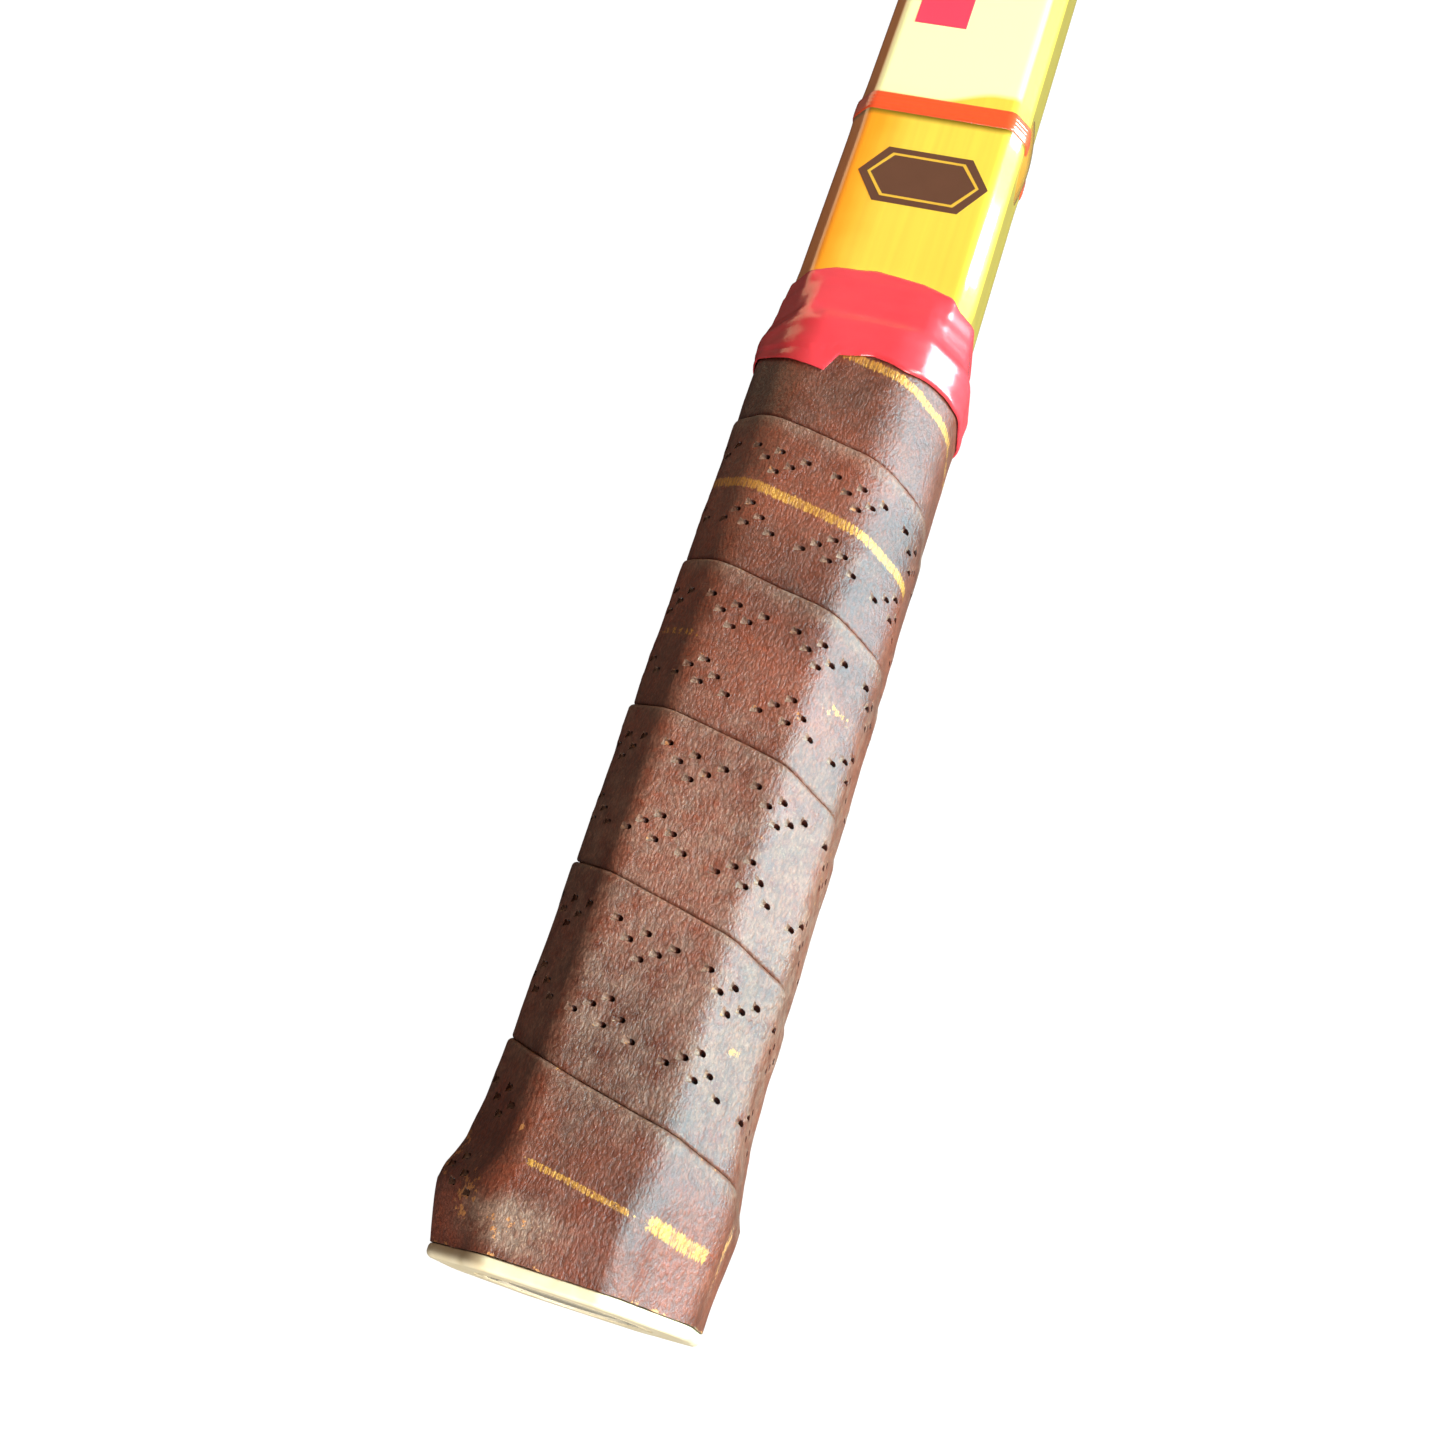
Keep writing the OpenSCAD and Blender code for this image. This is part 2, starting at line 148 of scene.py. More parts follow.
class RacketStudioSettings(bpy.types.PropertyGroup):
    key: bpy.props.FloatProperty(name="Key light", description="Power of the large side light",
                                 default=29.0, min=0, unit="POWER")
    fill: bpy.props.FloatProperty(name="Overhead light", description="Power of the soft overhead light",
                                  default=15.0, min=0, unit="POWER")
    sun: bpy.props.FloatProperty(name="Low sun", description="Strength of the low sun from the right",
                                 default=1.8, min=0)
    floor: colour_prop("Floor", "Colour of the floor", "#F4F4F4")


SETTINGS = (RacketFrameSettings, RacketShaftSettings, RacketGripSettings, RacketCollarSettings,
            RacketButtSettings, RacketStringSettings, RacketStudioSettings)


# ---- Small tools -----------------------------------------------------------

def node(tree, kind, values=None, links=None, **settings):
    """Adds a node. Values and links go by the socket's name or number."""
    made = tree.nodes.new(kind)
    for key, value in settings.items():
        setattr(made, key, value)
    for key, value in (values or {}).items():
        made.inputs[key].default_value = value
    for key, source in (links or {}).items():
        tree.links.new(source, made.inputs[key])
    return made


def new_material(name):
    """An empty material with a Principled shader. Returns (material, tree, shader)."""
    material = bpy.data.materials.new(name)
    material.use_nodes = True
    shader = material.node_tree.nodes["Principled BSDF"]
    return material, material.node_tree, shader


def set_shader(shader, **inputs):
    """Sets the shader's inputs by name, each to a value or from another node's output."""
    for key, value in inputs.items():
        socket = shader.inputs[key.replace("_", " ")]
        if isinstance(value, bpy.types.NodeSocket):
            shader.id_data.links.new(value, socket)
        else:
            socket.default_value = (*value, 1.0) if socket.type == "RGBA" else value


def linked(obj):
    """Puts an object in the scene."""
    bpy.context.scene.collection.objects.link(obj)
    return obj


def mesh_object(name, verts_mm, faces, material, uvs=None, smooth=True):
    """A mesh object at the origin. uvs holds one (u, v) array per corner for each UV map."""
    mesh = bpy.data.meshes.new(name)
    mesh.from_pydata((np.asarray(verts_mm, float) * MM).tolist(), [], faces)
    for layer, values in (uvs or {}).items():
        mesh.uv_layers.new(name=layer).data.foreach_set("uv", np.asarray(values, np.float32).ravel())
    if material:
        mesh.materials.append(material)
    mesh.polygons.foreach_set("use_smooth", [smooth] * len(mesh.polygons))
    mesh.update()
    return linked(bpy.data.objects.new(name, mesh))


def dress(node_name, material):
    """Gives a CAD node that shows as it is its own material."""
    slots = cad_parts[node_name].data.materials
    slots.clear()
    slots.append(material)


def crease(obj, degrees=38):
    """Marks the edges that are sharper than the angle, so that the rest shades smooth."""
    obj.data.set_sharp_from_angle(angle=math.radians(degrees))


def finished(obj, slot, *replaced):
    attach(obj, BODY)
    if replaced:
        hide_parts(*replaced)
    return obj


def grid_faces(rows, columns, wrap_columns=False, wrap_rows=False, first=0):
    """Quads over a grid of points stored row by row."""
    faces = []
    for r in range(rows if wrap_rows else rows - 1):
        r1 = (r + 1) % rows
        for c in range(columns if wrap_columns else columns - 1):
            c1 = (c + 1) % columns
            faces.append((first + r * columns + c, first + r * columns + c1,
                          first + r1 * columns + c1, first + r1 * columns + c))
    return faces


def smooth_noise(values, seed, octaves=3):
    """A smooth wander between -1 and 1 along the values, the same each run."""
    rng = np.random.default_rng(seed)
    total = np.zeros_like(np.asarray(values, float))
    for k in range(octaves):
        a, b, p, q = rng.uniform(0, 2 * math.pi, 2).tolist() + rng.uniform(0.7, 1.3, 2).tolist()
        total += (np.sin(values * p * 1.7 ** k + a) + np.sin(values * q * 2.9 ** k + b)) / (2 * 1.6 ** k)
    return total / 1.8


def smoothstep(low, high, x):
    t = np.clip((np.asarray(x, float) - low) / (high - low), 0, 1)
    return t * t * (3 - 2 * t)


def applied(obj, tree, inputs):
    """Runs a geometry tree on the object and keeps its result as a plain mesh."""
    modifier = obj.modifiers.new(tree.name, "NODES")
    modifier.node_group = tree
    for item in tree.interface.items_tree:
        if item.item_type == "SOCKET" and item.in_out == "INPUT" and item.name in inputs:
            modifier[item.identifier] = inputs[item.name]
    depsgraph = bpy.context.evaluated_depsgraph_get()
    mesh = bpy.data.meshes.new_from_object(obj.evaluated_get(depsgraph), preserve_all_data_layers=True,
                                           depsgraph=depsgraph)
    obj.modifiers.remove(modifier)
    if obj.type == "MESH":
        old, obj.data = obj.data, mesh
        bpy.data.meshes.remove(old)
        return obj
    name, old = obj.name, obj
    old.name = name + ".path"
    obj = linked(bpy.data.objects.new(name, mesh))
    bpy.data.objects.remove(old)
    return obj


def point_cloud(name, points_mm, **vectors):
    """Loose points that carry named direction vectors, for a geometry tree to read."""
    mesh = bpy.data.meshes.new(name)
    mesh.from_pydata((np.asarray(points_mm, float) * MM).tolist(), [], [])
    for key, values in vectors.items():
        mesh.attributes.new(key, "FLOAT_VECTOR", "POINT").data.foreach_set(
            "vector", np.asarray(values, np.float32).ravel())
    return linked(bpy.data.objects.new(name, mesh))


def path_curve(name, path_mm):
    """A curve object of straight steps through the path's points."""
    curve = bpy.data.curves.new(name, "CURVE")
    curve.dimensions = "3D"
    spline = curve.splines.new("POLY")
    spline.points.add(len(path_mm) - 1)
    spline.points.foreach_set("co", np.concatenate([path_mm * MM, np.ones((len(path_mm), 1))], 1).ravel())
    return linked(bpy.data.objects.new(name, curve))


def new_tree(name, sockets):
    """A geometry tree with these inputs. Returns (tree, input node, output node)."""
    tree = bpy.data.node_groups.new(name, "GeometryNodeTree")
    tree.interface.new_socket("Geometry", in_out="OUTPUT", socket_type="NodeSocketGeometry")
    for label, kind, default in sockets:
        made = tree.interface.new_socket(label, in_out="INPUT", socket_type=kind)
        if default is not None:
            made.default_value = default
    return tree, tree.nodes.new("NodeGroupInput"), tree.nodes.new("NodeGroupOutput")


def facing(tree):
    """Rotation of each point, its Z on the way vector and its X on the along vector."""
    way = node(tree, "GeometryNodeInputNamedAttribute", {"Name": "way"}, data_type="FLOAT_VECTOR")
    along = node(tree, "GeometryNodeInputNamedAttribute", {"Name": "along"}, data_type="FLOAT_VECTOR")
    up = node(tree, "FunctionNodeAlignRotationToVector", links={"Vector": way.outputs[0]}, axis="Z")
    return node(tree, "FunctionNodeAlignRotationToVector",
                links={"Rotation": up.outputs[0], "Vector": along.outputs[0]}, axis="X", pivot_axis="Z")


def bore_tree():
    """Cuts a tapered hole into the piece at each point."""
    tree, given, result = new_tree("Bored holes", [
        ("Geometry", "NodeSocketGeometry", None), ("Points", "NodeSocketObject", None),
        ("Mouth Radius", "NodeSocketFloat", 1.2 * MM), ("End Radius", "NodeSocketFloat", 1.2 * MM),
        ("Depth", "NodeSocketFloat", 10 * MM), ("Stretch", "NodeSocketFloat", 1.0),
        ("Sides", "NodeSocketInt", 12), ("Extra Cutter", "NodeSocketObject", None),
        ("Material", "NodeSocketMaterial", None)])
    points = node(tree, "GeometryNodeObjectInfo", links={"Object": given.outputs["Points"]})
    extra = node(tree, "GeometryNodeObjectInfo", links={"Object": given.outputs["Extra Cutter"]})
    cone = node(tree, "GeometryNodeMeshCone", links={
        "Vertices": given.outputs["Sides"], "Radius Top": given.outputs["Mouth Radius"],
        "Radius Bottom": given.outputs["End Radius"], "Depth": given.outputs["Depth"]})
    drop = node(tree, "ShaderNodeMath", {1: -1.0}, {0: given.outputs["Depth"]}, operation="MULTIPLY")
    shift = node(tree, "ShaderNodeCombineXYZ", links={"Z": drop.outputs[0]})
    scale = node(tree, "ShaderNodeCombineXYZ", {"Y": 1.0, "Z": 1.0}, {"X": given.outputs["Stretch"]})
    placed = node(tree, "GeometryNodeTransform", links={
        "Geometry": cone.outputs["Mesh"], "Translation": shift.outputs[0], "Scale": scale.outputs[0]})
    spread = node(tree, "GeometryNodeInstanceOnPoints", links={
        "Points": points.outputs["Geometry"], "Instance": placed.outputs[0],
        "Rotation": facing(tree).outputs[0]})
    both = node(tree, "GeometryNodeJoinGeometry")
    tree.links.new(extra.outputs["Geometry"], both.inputs[0])
    tree.links.new(spread.outputs[0], both.inputs[0])
    real = node(tree, "GeometryNodeRealizeInstances", links={"Geometry": both.outputs[0]})
    cut = node(tree, "GeometryNodeMeshBoolean", links={"Mesh 1": given.outputs["Geometry"],
                                                       "Mesh 2": real.outputs[0]},
               operation="DIFFERENCE", solver="MANIFOLD")
    plain = node(tree, "GeometryNodeRealizeInstances", links={"Geometry": cut.outputs[0]})
    dressed = node(tree, "GeometryNodeSetMaterial", links={"Geometry": plain.outputs[0],
                                                           "Material": given.outputs["Material"]})
    tree.links.new(dressed.outputs[0], result.inputs[0])
    return tree


def cord_tree():
    """Runs a round cord along the object's curve."""
    tree, given, result = new_tree("Round cord", [
        ("Geometry", "NodeSocketGeometry", None), ("Radius", "NodeSocketFloat", 0.65 * MM),
        ("Sides", "NodeSocketInt", 8), ("Material", "NodeSocketMaterial", None)])
    ring = node(tree, "GeometryNodeCurvePrimitiveCircle", links={"Resolution": given.outputs["Sides"],
                                                                 "Radius": given.outputs["Radius"]})
    run = node(tree, "GeometryNodeCurveToMesh", {"Fill Caps": True},
               {"Curve": given.outputs["Geometry"], "Profile Curve": ring.outputs["Curve"]})
    soft = node(tree, "GeometryNodeSetShadeSmooth", links={"Geometry": run.outputs[0]})
    real = node(tree, "GeometryNodeRealizeInstances", links={"Geometry": soft.outputs[0]})
    dressed = node(tree, "GeometryNodeSetMaterial", links={"Geometry": real.outputs[0],
                                                           "Material": given.outputs["Material"]})
    tree.links.new(dressed.outputs[0], result.inputs[0])
    return tree


def copies_tree():
    """Puts a copy of the part at each point, turned to its way vector."""
    tree, given, result = new_tree("Copies on points", [
        ("Geometry", "NodeSocketGeometry", None), ("Part", "NodeSocketObject", None),
        ("Size", "NodeSocketFloat", 1.0), ("Material", "NodeSocketMaterial", None)])
    part = node(tree, "GeometryNodeObjectInfo", links={"Object": given.outputs["Part"]})
    size = node(tree, "ShaderNodeCombineXYZ", links={
        axis: given.outputs["Size"] for axis in "XYZ"})
    spread = node(tree, "GeometryNodeInstanceOnPoints", links={
        "Points": given.outputs["Geometry"], "Instance": part.outputs["Geometry"],
        "Rotation": facing(tree).outputs[0], "Scale": size.outputs[0]})
    real = node(tree, "GeometryNodeRealizeInstances", links={"Geometry": spread.outputs[0]})
    dressed = node(tree, "GeometryNodeSetMaterial", links={"Geometry": real.outputs[0],
                                                           "Material": given.outputs["Material"]})
    tree.links.new(dressed.outputs[0], result.inputs[0])
    return tree


# ---- The racket's own measures ---------------------------------------------
# These repeat the frame's design in millimetres.

BOW_LOW, BOW_HIGH = corners_mm("bow_ply_1")
HEAD_W = BOW_HIGH[0] - BOW_LOW[0]
TOTAL = BOW_HIGH[1]
FACE_Z = BOW_HIGH[2]
HEAD_LEN = 290.0
CROWN_R = 95.0
THROAT_R = 150.0
PLY_T = [2.4, 0.8, 2.0, 2.0, 0.8, 2.0]
BOW_T = sum(PLY_T)
LINER_T = 1.4
FRAME_T = BOW_T + LINER_T
SHAFT_X = corners_mm("shaft_core")[1][0] + BOW_T
BUTT_PLATE = 2.0

HALF_W = HEAD_W / 2
MID_Y = TOTAL - HEAD_LEN / 2
ARC_DY = HEAD_LEN / 2 - CROWN_R
SIDE_R = (HALF_W ** 2 + ARC_DY ** 2 - CROWN_R ** 2) / (2 * (HALF_W - CROWN_R))
SIDE_DX = SIDE_R - HALF_W
JOIN_A = math.atan2(ARC_DY, SIDE_DX)
THROAT_X = SHAFT_X + THROAT_R
THROAT_DY = math.sqrt((CROWN_R + THROAT_R) ** 2 - THROAT_X ** 2)
THROAT_Y = MID_Y - ARC_DY - THROAT_DY
THROAT_A = math.atan2(THROAT_DY, THROAT_X)
LEN_THROAT = THROAT_R * THROAT_A
LEN_SHOULDER = CROWN_R * (THROAT_A - JOIN_A)
LEN_SIDE = SIDE_R * 2 * JOIN_A
S_SIDE = LEN_THROAT + LEN_SHOULDER
S_CROWN = S_SIDE + LEN_SIDE
S_TOTAL = 2 * S_CROWN + CROWN_R * (math.pi - 2 * JOIN_A)

# Strings
MAINS, CROSSES = 18, 19
MAIN_PITCH, CROSS_PITCH = 10.8, 12.55
GROOVE_DEPTH, GROOVE_HALF, STRING_D, STRING_LIFT = 1.8, 2.45, 0.95, 1.45
THROAT_MAINS, THROAT_FIRST_A, THROAT_STEP_A = 5, 24.5, 4.5
INNER_CROWN_R = CROWN_R - FRAME_T
INNER_SIDE_R = SIDE_R - FRAME_T

# The handle: half width, half depth, half of the broad flat, half of the side flat
GRIP_SEC = (17.5, 15.3, 9.7, 7.2)
WOOD_SEC = (SHAFT_X, 13.5, 9.0, 6.5)
BEVEL_SLOPE = (WOOD_SEC[0] - WOOD_SEC[2]) / (WOOD_SEC[1] - WOOD_SEC[3])
SHAFT_SEC = (SHAFT_X, FACE_Z, SHAFT_X - BEVEL_SLOPE * (FACE_Z - WOOD_SEC[3]), WOOD_SEC[3])
LEATHER_T = 2.0
LEATHER_LEN = 153.0
FLARE_Y = [-1.0, 2.0, 5.0, 8.0, 10.0, 12.0, 14.0, 16.0, 20.0, 27.0, 34.0]
FLARE_FACE = [2.5, 2.81, 3.2, 3.6, 3.37, 3.14, 2.78, 2.3, 1.35, 0.25, 0.0]
FLARE_LEFT = [0.8, 1.0, 1.8, 2.6, 2.85, 2.45, 1.7, 1.1, 0.65, 0.12, 0.0]
FLARE_RIGHT = [0.9, 1.0, 1.1, 1.3, 1.5, 1.65, 1.75, 1.75, 1.1, 0.2, 0.0]
BAND_FROM, BAND_W = 205.5, 4.2


def station(s):
    """Point on the outline at s along it, and the unit vector into the frame there."""
    if s > S_TOTAL / 2:
        x, y, nx, ny = station(S_TOTAL - s)
        return -x, y, -nx, ny
    if s < LEN_THROAT:
        a, r, cx, cy, inward = math.pi - s / THROAT_R, THROAT_R, THROAT_X, THROAT_Y, 1
    elif s < S_SIDE:
        a, r, cx, cy, inward = -THROAT_A + (s - LEN_THROAT) / CROWN_R, CROWN_R, 0, MID_Y - ARC_DY, -1
    elif s < S_CROWN:
        a, r, cx, cy, inward = -JOIN_A + (s - S_SIDE) / SIDE_R, SIDE_R, -SIDE_DX, MID_Y, -1
    else:
        a, r, cx, cy, inward = JOIN_A + (s - S_CROWN) / CROWN_R, CROWN_R, 0, MID_Y + ARC_DY, -1
    c, n = math.cos(a), math.sin(a)
    return cx + r * c, cy + r * n, inward * c, inward * n


def outline(s, d):
    x, y, nx, ny = station(s)
    return np.array([x + d * nx, y + d * ny])


def main_x(k):
    return (k - (MAINS - 1) / 2) * MAIN_PITCH


def cross_dy(j):
    return (j - (CROSSES - 1) / 2) * CROSS_PITCH


def normal_at_x(x):
    if x <= INNER_CROWN_R * math.cos(JOIN_A):
        return math.acos(x / INNER_CROWN_R)
    return math.acos((x + SIDE_DX) / INNER_SIDE_R)


def normal_at_dy(dy):
    if dy <= INNER_SIDE_R * math.sin(JOIN_A):
        return math.asin(dy / INNER_SIDE_R)
    return math.asin((dy - ARC_DY) / INNER_CROWN_R)


def oval_point(a, d=FRAME_T):
    """Point on the oval, d in from the outer face, where its outward normal is a."""
    if a > JOIN_A:
        return (CROWN_R - d) * math.cos(a), ARC_DY + (CROWN_R - d) * math.sin(a)
    return (SIDE_R - d) * math.cos(a) - SIDE_DX, (SIDE_R - d) * math.sin(a)


def s_of_normal(a):
    if a > JOIN_A:
        return S_CROWN + CROWN_R * (a - JOIN_A)
    if a > -JOIN_A:
        return S_SIDE + SIDE_R * (a + JOIN_A)
    return LEN_THROAT + CROWN_R * (a + THROAT_A)


def flipped(mouth):
    return np.array([-mouth[0][0], mouth[0][1]]), S_TOTAL - mouth[1]


# A mouth is (point on the inner oval, s where the hole leaves the outer face)
def main_top(x):
    if x < 0:
        return flipped(main_top(-x))
    a = normal_at_x(x)
    px, py = oval_point(a)
    return np.array([px, MID_Y + py]), s_of_normal(a)


def throat_exit(x):
    return THROAT_R * math.radians(THROAT_FIRST_A + THROAT_STEP_A * (x / MAIN_PITCH - 0.5))


def main_bottom(x):
    if x < 0:
        return flipped(main_bottom(-x))
    a = normal_at_x(x)
    px, py = oval_point(a)
    return (np.array([px, MID_Y - py]),
            throat_exit(x) if x < THROAT_MAINS * MAIN_PITCH else s_of_normal(-a))


def cross_right(dy):
    a = normal_at_dy(abs(dy))
    up = -1 if dy < 0 else 1
    px, py = oval_point(a)
    return np.array([px, MID_Y + up * py]), s_of_normal(up * a)


def cross_left(dy):
    return flipped(cross_right(dy))


def all_mouths():
    found = []
    for k in range(MAINS):
        found += [main_top(main_x(k)), main_bottom(main_x(k))]
    for j in range(CROSSES):
        found += [cross_left(cross_dy(j)), cross_right(cross_dy(j))]
    return found


class Octagon:
    """The rounded eight-sided section. s is measured round the sharp section from the
    middle of the front face towards the right."""

    STEP = 0.05

    def __init__(self, section, radius, softer=None, over=(70, 135)):
        """The corners' radius grows to the softer one over this stretch of y."""
        self.softer = Octagon(section, softer) if softer else None
        self.over = over
        half_x, half_z, flat_x, flat_z = section
        corners = [(flat_x, half_z), (half_x, flat_z), (half_x, -flat_z), (flat_x, -half_z),
                   (-flat_x, -half_z), (-half_x, -flat_z), (-half_x, flat_z), (-flat_x, half_z)]
        corners = [np.array(c, float) for c in corners]
        lengths = [np.linalg.norm(corners[i] - corners[i - 1]) for i in range(8)]
        places = [flat_x]
        for i in range(1, 8):
            places.append(places[-1] + lengths[i])
        self.girth = places[-1] + flat_x
        s = np.arange(0, self.girth + self.STEP / 2, self.STEP)
        normals = []
        for i in range(8):
            along = corners[i] - corners[i - 1]
            normals.append(math.atan2(along[0], -along[1]))
        normals = np.unwrap(normals)
        x, z, angle = np.zeros_like(s), np.zeros_like(s), np.zeros_like(s)
        edges = [-flat_x] + places
        for k, at in enumerate(s):
            i = int(np.searchsorted(places, at))
            a, b = corners[i % 8 - 1], corners[i % 8]
            run = (at - edges[i]) / lengths[i % 8]
            x[k], z[k] = a + (b - a) * run
            angle[k] = normals[i % 8] + (2 * math.pi * np.sign(normals[-1] - normals[0]) if i == 8 else 0)
        for i in range(8):
            n0, n1 = normals[i], normals[(i + 1) % 8]
            if i == 7:
                n1 += 2 * math.pi * np.sign(normals[-1] - normals[0])
            half = (n1 - n0) / 2
            reach = radius * math.tan(abs(half))
            mid = (n0 + n1) / 2
            centre = corners[i] - radius / math.cos(half) * np.array([math.cos(mid), math.sin(mid)])
            near = np.abs(s - places[i]) < reach
            turn = mid + half * (s[near] - places[i]) / reach
            x[near], z[near] = centre[0] + radius * np.cos(turn), centre[1] + radius * np.sin(turn)
            angle[near] = turn
        self.s, self.x, self.z, self.angle = s, x, z, angle

    def at(self, s, y=None):
        """x, z and the outward normal's x and z at s."""
        place = np.mod(s, self.girth)
        a = np.interp(place, self.s, self.angle)
        found = (np.interp(place, self.s, self.x), np.interp(place, self.s, self.z), np.cos(a), np.sin(a))
        if self.softer is None:
            return found
        share = smoothstep(*self.over, self.over[0] if y is None else y)
        return tuple(p * (1 - share) + q * share for p, q in zip(found, self.softer.at(s)))

    def points(self, s, y, stand, flare=False):
        """Points that stand out from the section, and from the butt's flare where asked."""
        x, z, nx, nz = self.at(s, y)
        stand = stand + (flare_at(y, nx) if flare else 0)
        return np.stack([x + nx * stand, np.broadcast_to(y, x.shape), z + nz * stand], -1)


def flare_at(y, nx=0.0):
    """How far the butt stands out. Its sides are slimmer than its faces and draw in at the end."""
    side = np.clip(np.abs(nx) / 0.7, 0, 1)
    edge = np.where(np.asarray(nx) < 0, np.interp(y, FLARE_Y, FLARE_LEFT), np.interp(y, FLARE_Y, FLARE_RIGHT))
    return np.interp(y, FLARE_Y, FLARE_FACE) * (1 - side) + edge * side


# ---- Materials -------------------------------------------------------------

def wood_material(name, pale, dark, fibre_mm=1.1, run_mm=70.0, uv=True, gloss=0.16):
    """Lacquered wood: straight fibres that run along the piece under a clear gloss coat."""
    material, tree, shader = new_material(name)
    if uv:
        place = node(tree, "ShaderNodeUVMap", uv_map="run")
        scale = (1 / (run_mm * MM), 1 / (fibre_mm * MM), 1)
        source = place.outputs["UV"]
    else:
        place = node(tree, "ShaderNodeTexCoord")
        scale = (1 / (fibre_mm * MM), 1 / (run_mm * MM), 1 / (fibre_mm * MM))
        source = place.outputs["Object"]
    grain_space = node(tree, "ShaderNodeMapping", {"Scale": scale}, {"Vector": source})
    fibres = node(tree, "ShaderNodeTexNoise",
                  {"Scale": 1.0, "Detail": 5.0, "Roughness": 0.62, "Distortion": 0.3},
                  {"Vector": grain_space.outputs[0]})
    pore_space = node(tree, "ShaderNodeMapping", {"Scale": tuple(4 * v for v in scale)},
                      {"Vector": source})
    pores = node(tree, "ShaderNodeTexNoise", {"Scale": 1.0, "Detail": 2.0},
                 {"Vector": pore_space.outputs[0]})
    mixed = node(tree, "ShaderNodeMix", {0: 0.35}, {2: fibres.outputs["Fac"], 3: pores.outputs["Fac"]},
                 data_type="FLOAT")
    tint = node(tree, "ShaderNodeValToRGB", links={"Fac": mixed.outputs[0]})
    ramp = tint.color_ramp
    ramp.elements[0].position, ramp.elements[0].color = 0.36, (*dark, 1)
    ramp.elements[1].position, ramp.elements[1].color = 0.60, (*pale, 1)
    set_shader(shader, Base_Color=tint.outputs["Color"])
    bump = node(tree, "ShaderNodeBump", {"Strength": 0.12, "Distance": 0.05 * MM},
                {"Height": pores.outputs["Fac"]})
    set_shader(shader, Normal=bump.outputs[0],
               Roughness=0.42, Coat_Weight=1.0, Coat_Roughness=gloss, Coat_IOR=1.5)
    return material


def plastic_material(name, colour, roughness, coat=0.0, bump_mm=0.0, grain_mm=2.0, shade=None):
    """A moulded or painted surface with a slight wave in it and a faint change of colour."""
    material, tree, shader = new_material(name)
    place = node(tree, "ShaderNodeTexCoord")
    mottle = node(tree, "ShaderNodeTexNoise", {"Scale": 1 / (grain_mm * MM), "Detail": 4.0},
                  {"Vector": place.outputs["Object"]})
    darker = shade or tuple(0.8 * c for c in colour)
    tint = node(tree, "ShaderNodeMix", {6: (*darker, 1), 7: (*colour, 1)},
                {0: mottle.outputs["Fac"]}, data_type="RGBA")
    set_shader(shader, Base_Color=tint.outputs[2])
    if bump_mm:
        bump = node(tree, "ShaderNodeBump", {"Strength": 1.0, "Distance": bump_mm * MM},
                    {"Height": mottle.outputs["Fac"]})
        set_shader(shader, Normal=bump.outputs[0])
    set_shader(shader, Roughness=roughness, Coat_Weight=coat, Coat_Roughness=0.08)
    return material


def brass_material():
    """Drawn brass with a dull skin: warm metal with soft, slightly uneven reflections."""
    material, tree, shader = new_material("Brass, drawn and tarnished")
    place = node(tree, "ShaderNodeTexCoord")
    skin = node(tree, "ShaderNodeTexNoise", {"Scale": 1 / (1.2 * MM), "Detail": 3.0},
                {"Vector": place.outputs["Object"]})
    tint = node(tree, "ShaderNodeMix", {6: (*srgb("#8A6A34"), 1), 7: (*srgb("#C9A257"), 1)},
                {0: skin.outputs["Fac"]}, data_type="RGBA")
    rough = node(tree, "ShaderNodeMapRange", {"To Min": 0.25, "To Max": 0.5}, {"Value": skin.outputs["Fac"]})
    set_shader(shader, Base_Color=tint.outputs[2], Roughness=rough.outputs[0], Metallic=1.0)
    return material


